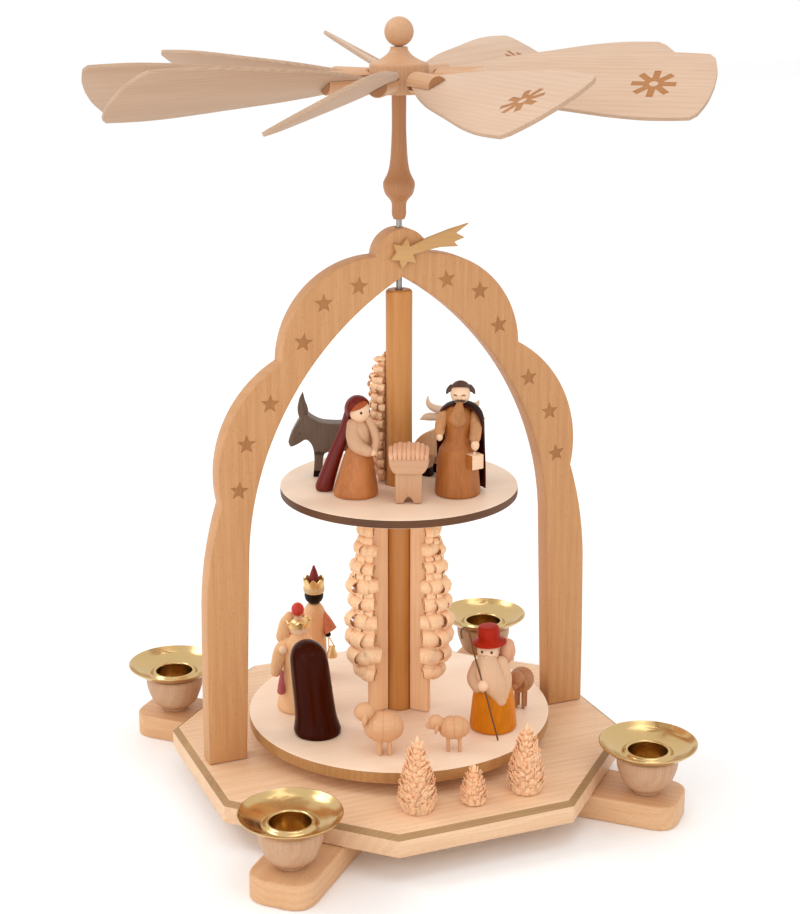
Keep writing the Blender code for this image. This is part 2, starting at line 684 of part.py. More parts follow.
def make_plate_trees():
    heights = (PLATE_TREE_TALL, PLATE_TREE_SHORT, PLATE_TREE_MIDDLE)
    spaces = (PLATE_TREE_WIDE_SPACE, PLATE_TREE_NARROW_SPACE, PLATE_TREE_MIDDLE_SPACE)
    for i, (height, space, heading) in enumerate(zip(heights, spaces, PLATE_TREE_HEADINGS)):
        radius = height * PLATE_TREE_WIDTH_SHARES[i]
        tree = turned(f"plate_tree_{i + 1}", scaled(PLATE_TREE_SHARES, radius, height), TREE_STEPS)
        circle = LOWER_DISC_RADIUS + space + radius
        place = ring_places(circle, PLATE_TOP + CLEARANCE, math.radians(heading), 1)[0]
        finished(tree, "straw", STRAW, place=place)


# Figures. Each is modelled about its own foot, +X to its right as seen from the front.

def stand_on(obj, look_name, look, deck_radius, deck_top, place_shares, carousel, turn=0.0):
    place = (deck_radius * place_shares[0], deck_radius * place_shares[1], deck_top + CLEARANCE)
    finished(obj, look_name, look, carousel, place)
    obj.rotation_euler.z = FIGURE_TURN + turn


def points_of(height, *shares):
    return [tuple(height * share for share in point) for point in shares]


MOTHER_GOWN_SHARES = ((0.0, 0.72), (0.05, 0.72), (0.105, 0.68), (0.125, 0.58), (0.105, 0.46),
                      (0.15, 0.36), (0.195, 0.18), (0.215, 0.03), (0.205, 0.0), (0.0, 0.0))


def make_mother(carousel):
    tall = MOTHER_HEIGHT
    gown = turned("mother", scaled(MOTHER_GOWN_SHARES, tall, tall), FIGURE_STEPS)
    head = ball("mother_head", (tall * 0.105,) * 3, (tall * 0.04, 0, tall * 0.81))
    cape = limb("mother_cape", points_of(tall, (0.0, 0.05, 0.90), (-0.05, 0.07, 0.70), (-0.17, 0.11, 0.42),
                                         (-0.30, 0.14, 0.12), (-0.34, 0.15, 0.03)),
                [tall * share for share in (0.10, 0.115, 0.095, 0.095, 0.09)])
    arm = limb("mother_arm", points_of(tall, (0.07, -0.08, 0.62), (0.12, -0.15, 0.50), (0.22, -0.10, 0.48)),
               [tall * share for share in (0.055, 0.055, 0.04)])
    join(gown, head, cape, arm)
    stand_on(gown, "brown_stain", BROWN_STAIN, UPPER_DISC_RADIUS, UPPER_DECK, (-0.45, -0.148), carousel)


FATHER_GOWN_SHARES = ((0.0, 0.80), (0.045, 0.80), (0.10, 0.76), (0.135, 0.69), (0.13, 0.60),
                      (0.115, 0.48), (0.135, 0.38), (0.175, 0.20), (0.207, 0.02), (0.20, 0.0), (0.0, 0.0))


def make_father(carousel):
    tall = FATHER_HEIGHT
    gown = turned("father", scaled(FATHER_GOWN_SHARES, tall, tall), FIGURE_STEPS)
    head = ball("father_head", (tall * 0.105, tall * 0.105, tall * 0.11), (0, 0, tall * 0.885))
    cape = limb("father_cape", points_of(tall, (0.0, 0.06, 0.77), (0.03, 0.08, 0.60), (0.06, 0.10, 0.30),
                                         (0.10, 0.10, 0.05)),
                [tall * share for share in (0.10, 0.155, 0.145, 0.13)])
    left = limb("father_left_arm", points_of(tall, (-0.10, -0.02, 0.68), (-0.17, -0.10, 0.52),
                                             (-0.13, -0.17, 0.46)),
                [tall * share for share in (0.06, 0.055, 0.045)])
    right = limb("father_right_arm", points_of(tall, (0.10, -0.02, 0.68), (0.17, -0.10, 0.52),
                                               (0.15, -0.20, 0.40)),
                 [tall * share for share in (0.06, 0.06, 0.045)])
    lantern = box("father_lantern", points_of(tall, (0.11, 0.11, 0.15))[0],
                  points_of(tall, (0.15, -0.22, 0.31))[0])
    join(gown, head, cape, left, right, lantern)
    stand_on(gown, "brown_stain", BROWN_STAIN, UPPER_DISC_RADIUS, UPPER_DECK, (0.35, -0.45), carousel)


CRIB_SHARES = ((-0.28, 1.0), (-0.345, 0.82), (-0.32, 0.61), (-0.23, 0.53), (-0.22, 0.0), (-0.09, 0.0),
               (0.0, 0.13), (0.09, 0.0), (0.22, 0.0), (0.23, 0.53), (0.32, 0.61), (0.345, 0.82), (0.28, 1.0))


def make_crib(carousel):
    crib = upright("crib", points_of(CRIB_HEIGHT, *CRIB_SHARES), CRIB_DEPTH)
    stand_on(crib, "straw", STRAW, UPPER_DISC_RADIUS, UPPER_DECK, (-0.10, -0.50), carousel)


DONKEY_SHARES = ((-0.35, 0.43), (-0.31, 0.38), (-0.21, 0.43), (-0.13, 0.45), (-0.04, 0.34), (-0.035, 0.18),
                 (-0.05, 0.0), (0.04, 0.0), (0.06, 0.20), (0.12, 0.30), (0.38, 0.30), (0.42, 0.18),
                 (0.40, 0.0), (0.49, 0.0), (0.50, 0.20), (0.54, 0.42), (0.53, 0.60), (0.47, 0.66),
                 (0.06, 0.665), (-0.04, 0.69), (-0.09, 0.80), (-0.165, 1.0), (-0.21, 0.86), (-0.23, 0.70),
                 (-0.35, 0.49))


def make_donkey(carousel):
    donkey = upright("donkey", points_of(DONKEY_HEIGHT, *DONKEY_SHARES), DONKEY_THICKNESS)
    circle = UPPER_TREE_REACH + DONKEY_TO_TREE
    place = ring_places(circle, UPPER_DECK + CLEARANCE, DONKEY_HEADING, 1)[0]
    finished(donkey, "grey_stain", GREY_STAIN, carousel, place)
    donkey.rotation_euler.z = FIGURE_TURN


OX_SHARES = ((-0.215, 0.0), (-0.015, 0.0), (-0.02, 0.17), (0.03, 0.25), (0.20, 0.27), (0.25, 0.20),
             (0.23, 0.0), (0.36, 0.0), (0.40, 0.22), (0.42, 0.45), (0.36, 0.62), (0.22, 0.65),
             (0.06, 0.56), (-0.10, 0.46), (-0.205, 0.31), (-0.22, 0.22))


def make_ox(carousel):
    tall = OX_HEIGHT
    ox = upright("ox", points_of(tall, *OX_SHARES), OX_THICKNESS)
    head = ball("ox_head", (tall * 0.15, tall * 0.15, tall * 0.18), points_of(tall, (0.27, -0.10, 0.76))[0])
    horns = limb("ox_horns", points_of(tall, (0.01, -0.25, 1.02), (0.04, -0.23, 0.93), (0.17, -0.15, 0.86),
                                       (0.37, -0.04, 0.84), (0.50, 0.04, 0.88), (0.53, 0.06, 0.95)),
                 [tall * share for share in (0.012, 0.03, 0.05, 0.05, 0.03, 0.012)])
    ears = limb("ox_ears", points_of(tall, (-0.06, -0.28, 0.74), (0.04, -0.22, 0.77), (0.48, 0.03, 0.77),
                                     (0.58, 0.09, 0.74)),
                [tall * share for share in (0.02, 0.05, 0.05, 0.02)])
    join(ox, head, horns, ears)
    stand_on(ox, "maple", MAPLE, UPPER_DISC_RADIUS, UPPER_DECK, (0.391, 0.107), carousel, OX_TURN)


CLOAK_SHARES = ((0.0, 1.0), (0.074, 0.985), (0.137, 0.94), (0.18, 0.87), (0.195, 0.78), (0.201, 0.55),
                (0.206, 0.30), (0.216, 0.10), (0.241, 0.04), (0.235, 0.0), (0.0, 0.0))
CLOAK_LEAN_SHARE = -0.10


def make_cloaked_king(carousel):
    tall = CLOAKED_KING_HEIGHT
    lean = Matrix.Shear("XY", 4, (CLOAK_LEAN_SHARE, 0))
    king = solid_copy(turned("king_cloaked", scaled(CLOAK_SHARES, tall, tall), FIGURE_STEPS), lean)
    stand_on(king, "dark_stain", DARK_STAIN, LOWER_DISC_RADIUS, LOWER_DECK, (-0.645, -0.181), carousel)


CROWNED_KING_SHARES = ((0.0, 1.0), (0.035, 0.985), (0.05, 0.955), (0.035, 0.91), (0.055, 0.895),
                       (0.10, 0.88), (0.085, 0.77), (0.09, 0.72), (0.075, 0.64), (0.11, 0.60),
                       (0.145, 0.52), (0.15, 0.40), (0.17, 0.20), (0.205, 0.02), (0.20, 0.0), (0.0, 0.0))


def make_crowned_king(carousel):
    tall = CROWNED_KING_HEIGHT
    king = turned("king_crowned", scaled(CROWNED_KING_SHARES, tall, tall), FIGURE_STEPS)
    arm = limb("king_crowned_arm", points_of(tall, (-0.08, 0.0, 0.56), (-0.22, -0.04, 0.42),
                                             (-0.26, -0.06, 0.26)),
               [tall * share for share in (0.06, 0.075, 0.05)])
    join(king, arm)
    stand_on(king, "maple", MAPLE, LOWER_DISC_RADIUS, LOWER_DECK, (-0.62, 0.24), carousel)


DARK_KING_SHARES = ((0.0, 1.0), (0.022, 0.985), (0.04, 0.90), (0.088, 0.89), (0.084, 0.80), (0.078, 0.72),
                    (0.05, 0.65), (0.06, 0.64), (0.087, 0.587), (0.092, 0.50), (0.092, 0.40), (0.098, 0.25),
                    (0.11, 0.10), (0.123, 0.023), (0.12, 0.0), (0.0, 0.0))


def make_dark_king(carousel):
    tall = DARK_KING_HEIGHT
    king = turned("king_dark", scaled(DARK_KING_SHARES, tall, tall), FIGURE_STEPS)
    arms = [limb(f"king_dark_arm_{side}",
                 points_of(tall, (side * 0.055, 0.0, 0.58), (side * 0.10, -0.025, 0.51),
                           (side * 0.13, -0.04, 0.44)),
                 [tall * share for share in (0.03, 0.045, 0.05)])
            for side in (-1, 1)]
    join(king, *arms)
    stand_on(king, "maple", MAPLE, LOWER_DISC_RADIUS, LOWER_DECK, (-0.353, 0.675), carousel)


SHEPHERD_SHARES = ((0.0, 1.0), (0.075, 0.995), (0.095, 0.96), (0.10, 0.875), (0.155, 0.85), (0.15, 0.835),
                   (0.095, 0.83), (0.098, 0.76), (0.08, 0.68), (0.12, 0.62), (0.155, 0.52), (0.16, 0.40),
                   (0.15, 0.34), (0.18, 0.30), (0.202, 0.14), (0.214, 0.02), (0.208, 0.0), (0.0, 0.0))


def make_shepherd(carousel):
    tall = SHEPHERD_HEIGHT
    shepherd = turned("shepherd", scaled(SHEPHERD_SHARES, tall, tall), FIGURE_STEPS)
    arm = limb("shepherd_arm",
               points_of(tall, (-0.11, -0.02, 0.58), (-0.17, -0.08, 0.46), (-0.10, -0.12, 0.45)),
               [tall * share for share in (0.05, 0.05, 0.04)])
    lamb = ball("shepherd_lamb", points_of(tall, (0.07, 0.08, 0.08))[0],
                points_of(tall, (0.125, 0.03, 0.69))[0])
    join(shepherd, arm, lamb)
    stand_on(shepherd, "ochre_stain", OCHRE_STAIN, LOWER_DISC_RADIUS, LOWER_DECK, SHEPHERD_PLACE_SHARES,
             carousel)


SHEPHERD_PLACE_SHARES = (0.4434, -0.5348)
STAFF_PLACE_SHARES = (-0.0992, -0.3111)
STAFF_SHARES = ((0.0, 0.0, 0.0), (-0.06, 0.06, 0.22), (-0.125, 0.135, 0.45), (-0.20, 0.19, 0.70),
                (-0.255, 0.215, 0.93), (-0.275, 0.215, 0.985), (-0.31, 0.215, 1.0), (-0.335, 0.215, 0.965),
                (-0.325, 0.215, 0.90))


def make_staff(carousel):
    """The crook stands in front of the shepherd and leans on their hand."""
    radii = [STAFF_RADIUS] * len(STAFF_SHARES)
    staff = limb("shepherd_staff", points_of(STAFF_LENGTH, *STAFF_SHARES), radii)
    place = [along * LOWER_DISC_RADIUS + ahead * SHEPHERD_HEIGHT
             for along, ahead in zip(SHEPHERD_PLACE_SHARES, STAFF_PLACE_SHARES)]
    finished(staff, "dark_stain", DARK_STAIN, carousel, (*place, LOWER_DECK + CLEARANCE))
    staff.rotation_euler.z = FIGURE_TURN


# Each sheep's body: half its length, its girth, the height of its middle and how far it is shifted.
# Each head: its place along the body, its height and its radius. All are shares of the sheep's height.
LAMB_LEFT_SHARES = ((0.37, 0.297, 0.53, 0.0), (-0.361, 0.819, 0.181))
LAMB_RIGHT_SHARES = ((0.419, 0.326, 0.651, 0.047), (-0.459, 0.791, 0.209))
SHEEP_SHARES = ((0.33, 0.28, 0.651, 0.0), (-0.367, 0.807, 0.193))


def make_sheep(name, height, shares, place_shares, carousel, turn=0.0):
    """A turned body and head on four pegs."""
    (half, girth, middle, shift), (along, rise, radius) = shares
    leg = height * girth * 0.20
    body = ball(name, (height * half, height * girth, height * girth), (height * shift, 0, height * middle))
    head = ball(name + "_head", (height * radius,) * 3, (height * along, 0, height * rise), 8, 5)
    legs = [limb(f"{name}_leg_{number}", [(x, y, height * middle), (x, y, 0)], [leg, leg], 0)
            for number, (x, y) in enumerate([(height * (shift + ahead), height * across)
                                             for ahead in (-half * 0.36, half * 0.36)
                                             for across in (-girth * 0.36, girth * 0.36)])]
    join(body, head, *legs)
    stand_on(body, "maple", MAPLE, LOWER_DISC_RADIUS, LOWER_DECK, place_shares, carousel, turn)


def make_figures(carousel):
    make_mother(carousel)
    make_father(carousel)
    make_crib(carousel)
    make_donkey(carousel)
    make_ox(carousel)
    make_cloaked_king(carousel)
    make_crowned_king(carousel)
    make_dark_king(carousel)
    make_shepherd(carousel)
    make_staff(carousel)
    make_sheep("lamb_left", LAMB_LEFT_HEIGHT, LAMB_LEFT_SHARES, (-0.366, -0.634), carousel)
    make_sheep("lamb_right", LAMB_RIGHT_HEIGHT, LAMB_RIGHT_SHARES, (0.055, -0.763), carousel)
    make_sheep("sheep", SHEEP_HEIGHT, SHEEP_SHARES, (0.742, -0.337), carousel, SHEEP_TURN)


clear_scene()
pieces = new_collection("candle_carousel")
cutters = new_collection("cutters")
carousel_axis = empty("carousel_axis")
make_foot_bars()
make_base_plate()
bearing_cup_floor = make_pivot_bearing()
make_cups_and_trays()
make_arch()
make_comet()
make_plate_trees()
make_axle(carousel_axis, bearing_cup_floor)
make_discs(carousel_axis)
make_wheel_middle(carousel_axis)
make_blades(carousel_axis)
tree_low = LOWER_DECK + CLEARANCE
tree_high = UPPER_DECK - UPPER_DISC_THICKNESS - CLEARANCE
for tree_name, tree_angle in (("lower_tree_left", 185.5), ("lower_tree_right", 310.5)):
    make_half_tree(tree_name, carousel_axis, math.radians(tree_angle), tree_low, tree_high,
                   LOWER_TREE_BARE, LOWER_TREE_REACH, LOWER_TREE_REACH_SHARES)
make_upper_tree(carousel_axis)
make_figures(carousel_axis)
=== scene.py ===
"""The looks of a wooden candle carousel: woods, brass, shaved trees and painted figures.

Forms are drawn in millimetres in the carousel's own frame, +Z up with the origin on the shaft's
axis at the height of the table, and scaled to metres when a piece is finished."""

import math
import random

import bmesh
import bpy
from mathutils import Matrix, Vector


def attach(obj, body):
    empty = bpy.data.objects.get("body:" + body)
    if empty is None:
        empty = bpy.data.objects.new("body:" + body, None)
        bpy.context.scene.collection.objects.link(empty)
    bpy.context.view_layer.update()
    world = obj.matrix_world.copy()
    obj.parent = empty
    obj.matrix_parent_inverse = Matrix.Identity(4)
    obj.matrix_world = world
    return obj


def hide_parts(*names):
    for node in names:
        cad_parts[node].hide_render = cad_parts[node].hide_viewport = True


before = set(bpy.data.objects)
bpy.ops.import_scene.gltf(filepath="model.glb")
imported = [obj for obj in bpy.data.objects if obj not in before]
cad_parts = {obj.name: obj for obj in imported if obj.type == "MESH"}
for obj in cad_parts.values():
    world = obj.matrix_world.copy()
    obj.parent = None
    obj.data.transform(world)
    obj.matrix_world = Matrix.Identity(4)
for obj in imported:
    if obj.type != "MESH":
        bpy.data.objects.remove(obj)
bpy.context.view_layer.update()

MILLIMETRE = 0.001
GAP = 0.3

# Foot and plate
FOOT_THICKNESS = 12.0
FOOT_WIDTH = 31.0
FOOT_REACH = 142.5
FOOT_CORNER = 9.0
FOOT_TURN = 45.6
PLATE_RADIUS = 111.8
PLATE_THICKNESS = 10.2
PLATE_CHAMFER = (3.0, 2.0)
PLATE_TOP = FOOT_THICKNESS + GAP + PLATE_THICKNESS

# Candle cups and trays
CUP_CIRCLE = 125.3
CUP_HEIGHT = 18.5
CUP_RADIUS = 14.5
CUP_FOOT_RADIUS = 6.4
SOCKET_RADIUS = 9.1
SOCKET_DEPTH = 12.5
TRAY_WALL = 0.6
TRAY_LIP_RADIUS = 10.9
TRAY_LIP_HEIGHT = 1.8
TRAY_RADIUS = 23.0
TRAY_RISE = 5.6

# Arch
ARCH_HALF_WIDTH = 98.5
ARCH_HEIGHT = 248.0
ARCH_THICKNESS = 10.0
ARCH_CROWN = 22.0
STAR_RADIUS = 4.7
STAR_DEPTH = 0.15
STAR_PLACES = ((80.6, 133.3, 8), (76.5, 154.7, 2), (64.9, 172.5, 4), (48.6, 199.5, 9), (38.6, 216.5, 0),
               (21.7, 223.1, 6))

# Axle, shaft and decks
SPINDLE_RADIUS = 1.35
SPINDLE_FOOT = PLATE_TOP - 2.3
SPINDLE_POINT = 1.4
SPINDLE_TOP = PLATE_TOP + 278.0
SHAFT_RADIUS = 6.2
SHAFT_LOW = PLATE_TOP + 3.6
SHAFT_TOP = PLATE_TOP + 219.7
LOWER_DISC_RADIUS = 73.3
LOWER_DISC_THICKNESS = 5.6
LOWER_DECK = PLATE_TOP + 11.9
UPPER_DISC_RADIUS = 56.2
UPPER_DISC_THICKNESS = 4.0
UPPER_DECK = PLATE_TOP + 126.5

# Paddle wheel
WHEEL_Z = PLATE_TOP + 314.0
HUB_RADIUS = 13.2
HUB_BOTTOM = WHEEL_Z - 5.8
HUB_THICKNESS = 13.0
HUB_NECK_RADIUS = 3.8
HUB_NECK_HEIGHT = 7.1
HUB_BORE_TOP = HUB_BOTTOM + 7.0
HUB_HOLE_RADIUS = 2.1
HUB_HOLE_DEPTH = 4.8
STEM_LOW = PLATE_TOP + 252.0
STEM_RADIUS = 3.3
STEM_BULGE_RADIUS = 7.2
STEM_BULGE_Z = PLATE_TOP + 267.2
BALL_RADIUS = 6.5
BALL_PIN_RADIUS = 1.8
BLADE_HEADINGS = (-87.7, -43.2, -5.6, 35.5, 75.3, 116.0, 155.3, 193.0, 233.8)
BLADE_PITCHES = (26.7, 30.0, 28.0, 27.5, 28.0, 26.5, 31.0, 29.5, 28.0)
BLADE_DROOPS = (0.2, -0.4, -0.6, -0.3, -1.2, 1.2, 2.2, 0.3, -0.2)
BLADE_ROOT = 18.5
BLADE_TIP = 140.8
BLADE_HALF_WIDTH = 23.8
BLADE_THICKNESS = 1.8
PEG_RADIUS = 4.8
PEG_START = 17.0
PEG_END = 39.5
PEG_PIN_RADIUS = 1.8
PEG_PIN_START = HUB_RADIUS - 4.5
ROSETTE_ALONG = 115.0
ROSETTE_RADIUS = 9.6
ROSETTE_DEPTH = 0.12

# Comet star
COMET_RADIUS = 7.2
COMET_TAIL = 33.5
COMET_THICKNESS = 2.0
COMET_Z = PLATE_TOP + 237.2

# Trees
BATTEN_WIDTH = 9.5
BATTEN_THICKNESS = 3.8
TREE_REACH = 27.8
TREE_BARE = 20.0
UPPER_TREE_REACH = 16.5
UPPER_TREE_HEIGHT = 63.2
UPPER_TREE_POINT = 5.0
UPPER_TREE_ROWS = 13
LEFT_TREE_HEADING = 185.5
RIGHT_TREE_HEADING = 310.5
UPPER_TREE_HEADING = 127.5
# Height, radius, distance from the axis, heading and tiers of each
PLATE_TREES = ((36.0, 8.4, 86.0, -107.1, 13), (19.0, 6.0, 85.9, -89.4, 8), (33.5, 8.2, 88.5, -71.5, 12))
PETAL_LENGTH = 4.6
SMALL_TREE_PETAL = 3.6
PETAL_WIDTH = 2.6
PETAL_SPACING = 2.0

# Figures
FIGURE_TURN = -22.5
STAFF_HEIGHT = 52.0
STAFF_RADIUS = 0.42
STAFF_SHARES = ((0.0, 0.0, 0.0), (-0.06, 0.06, 0.22), (-0.125, 0.135, 0.45), (-0.20, 0.19, 0.70),
                (-0.255, 0.215, 0.93), (-0.275, 0.215, 0.985), (-0.31, 0.215, 1.0), (-0.335, 0.215, 0.965),
                (-0.325, 0.215, 0.90))
DONKEY_CIRCLE = 41.1
DONKEY_HEADING = 138.75

# Photograph's camera
CAMERA_DISTANCE = 809.6
CAMERA_HEIGHT = 379.5
CAMERA_AZIMUTH = 22.5
CAMERA_DIP = 16.53
FOCAL_PIXELS = 1790.0
PICTURE_HEIGHT = 914.0
SENSOR_WIDTH = 36.0

# Each light's name, its place and size in metres, and its power
LIGHTS = (("key", (-1.5, 0.9, 2.0), 1.0, 13.0), ("top", (0.3, -0.4, 2.4), 1.2, 6.0),
          ("fill", (-1.2, -1.0, 0.45), 1.0, 3.0), ("left_spark", (-1.5, -1.3, 1.5), 0.14, 2.2),
          ("right_spark", (0.5, -1.9, 1.5), 0.14, 2.2))
LIT_POINT = Vector((0, 0, 0.18))


# Materials

def paint(red, green, blue):
    """A colour as seen, 0 to 255, in linear light."""
    return tuple((part / 255) ** 2.2 for part in (red, green, blue)) + (1.0,)


def feed(tree, socket, value):
    """Gives a socket a value or a link."""
    if isinstance(value, bpy.types.NodeSocket):
        tree.links.new(value, socket)
    else:
        socket.default_value = value


def fed(tree, made, values):
    """A shader node with values or links for its named sockets."""
    for name, value in values.items():
        feed(tree, made.inputs[name], value)
    return made


def new_look(name, colour, roughness, metallic=0.0):
    look = bpy.data.materials.new(name)
    look.use_nodes = True
    tree = look.node_tree
    values = {"Base Color": colour, "Roughness": roughness, "Metallic": metallic}
    return look, tree, fed(tree, tree.nodes["Principled BSDF"], values)


def node(tree, kind, values, **settings):
    """A new shader node with its settings, and values or links for its sockets."""
    made = tree.nodes.new("ShaderNode" + kind)
    for name, setting in settings.items():
        setattr(made, name, setting)
    return fed(tree, made, values)


def stretched(tree, across, along, bare=False):
    """Grain coordinates in millimetres, scaled across and along the fibres.

    A bare mesh, which has no grain of its own, takes its object's."""
    if bare:
        own = node(tree, "TexCoord", {}).outputs["Object"]
        grain = node(tree, "Mapping", {"Vector": own, "Scale": (1 / MILLIMETRE,) * 3}).outputs["Vector"]
    else:
        grain = node(tree, "Attribute", {}, attribute_name="grain").outputs["Vector"]
    return node(tree, "Mapping", {"Vector": grain, "Scale": (across, across, along)}).outputs["Vector"]


def noise(tree, across, along, detail=3.0, bare=False):
    where = stretched(tree, across, along, bare)
    return node(tree, "TexNoise", {"Vector": where, "Scale": 1.0, "Detail": detail}).outputs["Fac"]


def ring_waves(tree, along, spacing, values, bare=False):
    """Rings about the grain's own line, their spacing in millimetres."""
    values = {"Vector": stretched(tree, 1.0, along, bare), "Scale": RING_SCALE / spacing, **values}
    return node(tree, "TexWave", values, wave_type="RINGS", rings_direction="Z").outputs["Fac"]


def ramp(tree, factor, *stops):
    """A colour ramp between two stops, each a place and a colour."""
    made = node(tree, "ValToRGB", {"Fac": factor})
    for element, (place, colour) in zip(made.color_ramp.elements, stops):
        element.position, element.color = place, colour
    return made.outputs["Color"]


def mixed(tree, factor, first, second, blend="MIX"):
    made = node(tree, "Mix", {}, data_type="RGBA", blend_type=blend)
    for name, value in (("Factor", factor), ("A", first), ("B", second)):
        feed(tree, next(s for s in made.inputs if s.name == name and s.enabled), value)
    return next(s for s in made.outputs if s.enabled)


def bumped(tree, shader, height, depth, strength=0.5):
    """Relief of a real depth in millimetres."""
    bump = node(tree, "Bump", {"Height": height, "Strength": strength, "Distance": depth * MILLIMETRE})
    tree.links.new(bump.outputs["Normal"], shader.inputs["Normal"])


def worn(tree, shader, factor, smooth, rough):
    """Roughness that follows a noise from the smoothest place to the roughest."""
    span = node(tree, "MapRange", {"Value": factor, "From Min": 0.3, "From Max": 0.7, "To Min": smooth,
                                   "To Max": rough})
    tree.links.new(span.outputs["Result"], shader.inputs["Roughness"])


# The wave texture's scale for rings one millimetre apart
RING_SCALE = 0.314
NO_FLECK = (0.0, 0.0, 0.0, 1.0)
FLECK_SHADE = (0.62, 0.45, 0.33, 1.0)
STAIN_DEPTH = 0.75


def wood(name, light, dark, roughness=0.5, figure=0.5, ring=3.2, flecks=0.0, coat=0.0):
    """Timber: broad figure, growth rings that run nearly along the grain, fibres and small flecks."""
    light, dark = paint(*light), paint(*dark)
    look, tree, shader = new_look(name, light, roughness)
    growth = ring_waves(tree, 0.05, ring, {"Distortion": 7.0, "Detail": 3.0, "Detail Scale": 0.6})
    fibre = noise(tree, 1.5, 0.05, 4.0)
    colour = ramp(tree, noise(tree, 0.045, 0.007), (0.3, light), (0.72, dark))
    colour = mixed(tree, figure * 0.45, colour, ramp(tree, growth, (0.0, light), (1.0, dark)))
    colour = mixed(tree, figure * 0.5, colour, ramp(tree, fibre, (0.35, dark), (0.65, light)))
    if flecks:
        spots = node(tree, "TexVoronoi", {"Vector": stretched(tree, 1.1, 0.28), "Scale": 1.0})
        mask = ramp(tree, spots.outputs["Distance"], (0.10, (flecks, flecks, flecks, 1.0)), (0.22, NO_FLECK))
        shade = mixed(tree, 1.0, mixed(tree, 0.5, light, dark), FLECK_SHADE, "MULTIPLY")
        colour = mixed(tree, mask, colour, shade)
    worn(tree, shader, fibre, roughness - 0.06, roughness + 0.08)
    bumped(tree, shader, fibre, 0.06, 0.6)
    fed(tree, shader, {"Base Color": colour, "Coat Weight": coat, "Coat Roughness": 0.2})
    return look


def stained(name, colour, roughness=0.45, coat=0.0, shine=0.4):
    """Coloured stain on turned wood, through which the fibres still show a little."""
    colour = paint(*colour)
    look, tree, shader = new_look(name, colour, roughness)
    fibre = noise(tree, 1.2, 0.10)
    darker = tuple(part * STAIN_DEPTH for part in colour[:3]) + (1.0,)
    shade = mixed(tree, 0.5, fibre, noise(tree, 0.16, 0.05, 2.0))
    bumped(tree, shader, fibre, 0.05)
    fed(tree, shader, {"Base Color": ramp(tree, shade, (0.38, darker), (0.62, colour)),
                       "Specular IOR Level": shine, "Coat Weight": coat, "Coat Roughness": 0.15})
    return look


def spun_metal(name, colour, roughness, groove=0.9, bare=False):
    """Metal with faint turning marks round its own axis."""
    look, tree, shader = new_look(name, paint(*colour), roughness, 1.0)
    marks = ring_waves(tree, 0.0, groove, {"Distortion": 0.6, "Detail": 2.0}, bare)
    worn(tree, shader, noise(tree, 0.25, 0.25, bare=bare), roughness * 0.7, roughness * 1.5)
    bumped(tree, shader, marks, 0.012, 0.4)
    return look


def shaved_wood():
    """Thin lime shavings that let some light through."""
    look, tree, shader = new_look("shaved", paint(246, 200, 154), 0.55)
    fibre = noise(tree, 1.6, 0.3)
    bumped(tree, shader, fibre, 0.04)
    colour = ramp(tree, fibre, (0.3, paint(248, 188, 142)), (0.7, paint(255, 210, 170)))
    fed(tree, shader, {"Base Color": colour, "Subsurface Weight": 0.5, "Subsurface Radius": (0.7,) * 3,
                       "Subsurface Scale": MILLIMETRE})
    return look


BEECH = wood("beech", (222, 180, 138), (202, 148, 102), flecks=0.5, figure=0.7)
CUP_BEECH = wood("cup_beech", (200, 162, 130), (178, 132, 96), flecks=0.5, figure=0.6)
ARCH_BEECH = wood("arch_beech", (204, 152, 102), (184, 128, 80), flecks=0.5, figure=0.8, ring=4.5)
PLATE_BEECH = wood("plate_beech", (236, 200, 164), (214, 168, 126), flecks=0.4, figure=0.8, ring=4.0)
CHAMFER_BEECH = wood("chamfer_beech", (180, 142, 98), (136, 98, 58), roughness=0.65, ring=2.0)
RIM_BEECH = wood("rim_beech", (200, 148, 92), (150, 102, 52), roughness=0.55, ring=2.0)
DARK_RIM = wood("dark_rim", (106, 62, 18), (66, 36, 8), roughness=0.55, ring=1.4)
MAPLE = wood("maple", (250, 227, 203), (240, 208, 178), roughness=0.42, figure=0.4)
LIME = wood("lime", (208, 178, 152), (190, 154, 126), roughness=0.55, figure=0.75, ring=2.2)
# A darker copy of the lime: painted shade for the paddles' undersides
LIME_SHADED = wood("lime_painted_shade", (190, 160, 134), (172, 138, 110), roughness=0.6, figure=0.7, ring=2.2)
LIME_EDGE = wood("lime_edge", (196, 166, 140), (164, 132, 104), roughness=0.6, figure=0.8, ring=1.0)
PEG_WOOD = wood("peg_wood", (206, 162, 124), (182, 132, 92), figure=0.6, ring=1.4)
PEG_END_GRAIN = wood("peg_end_grain", (178, 128, 88), (146, 98, 62), roughness=0.65, ring=0.8)
OILED = wood("oiled", (200, 138, 72), (180, 114, 52), roughness=0.42, figure=0.6, coat=0.08)
STEM_WOOD = wood("stem_wood", (178, 124, 80), (156, 102, 62), roughness=0.45, figure=0.6, ring=1.4)
BATTEN = wood("batten", (246, 202, 156), (232, 178, 130), roughness=0.5, figure=0.7, ring=2.0)
BURNT = wood("burnt", (178, 122, 72), (150, 98, 54), roughness=0.7, ring=2.0)
PEAR = wood("pear", (204, 160, 104), (186, 138, 84), roughness=0.55, figure=0.5, ring=2.0)
SHAVED = shaved_wood()
FIGURE_WOOD = wood("figure_wood", (208, 166, 130), (190, 142, 106), figure=0.4, ring=1.6)
ROBE_WOOD = wood("robe_wood", (240, 190, 140), (222, 168, 118), figure=0.4, ring=2.0)
LAMB_WOOD = wood("lamb_wood", (220, 170, 126), (202, 146, 102), figure=0.4, ring=1.6)
HORN_WOOD = wood("horn_wood", (240, 212, 184), (226, 190, 156), figure=0.3, ring=2.0)
OX_WOOD = wood("ox_wood", (232, 194, 154), (212, 168, 126), figure=0.4, ring=2.0)
FACE_WOOD = wood("face_wood", (240, 204, 170), (228, 184, 146), figure=0.3, ring=1.6)
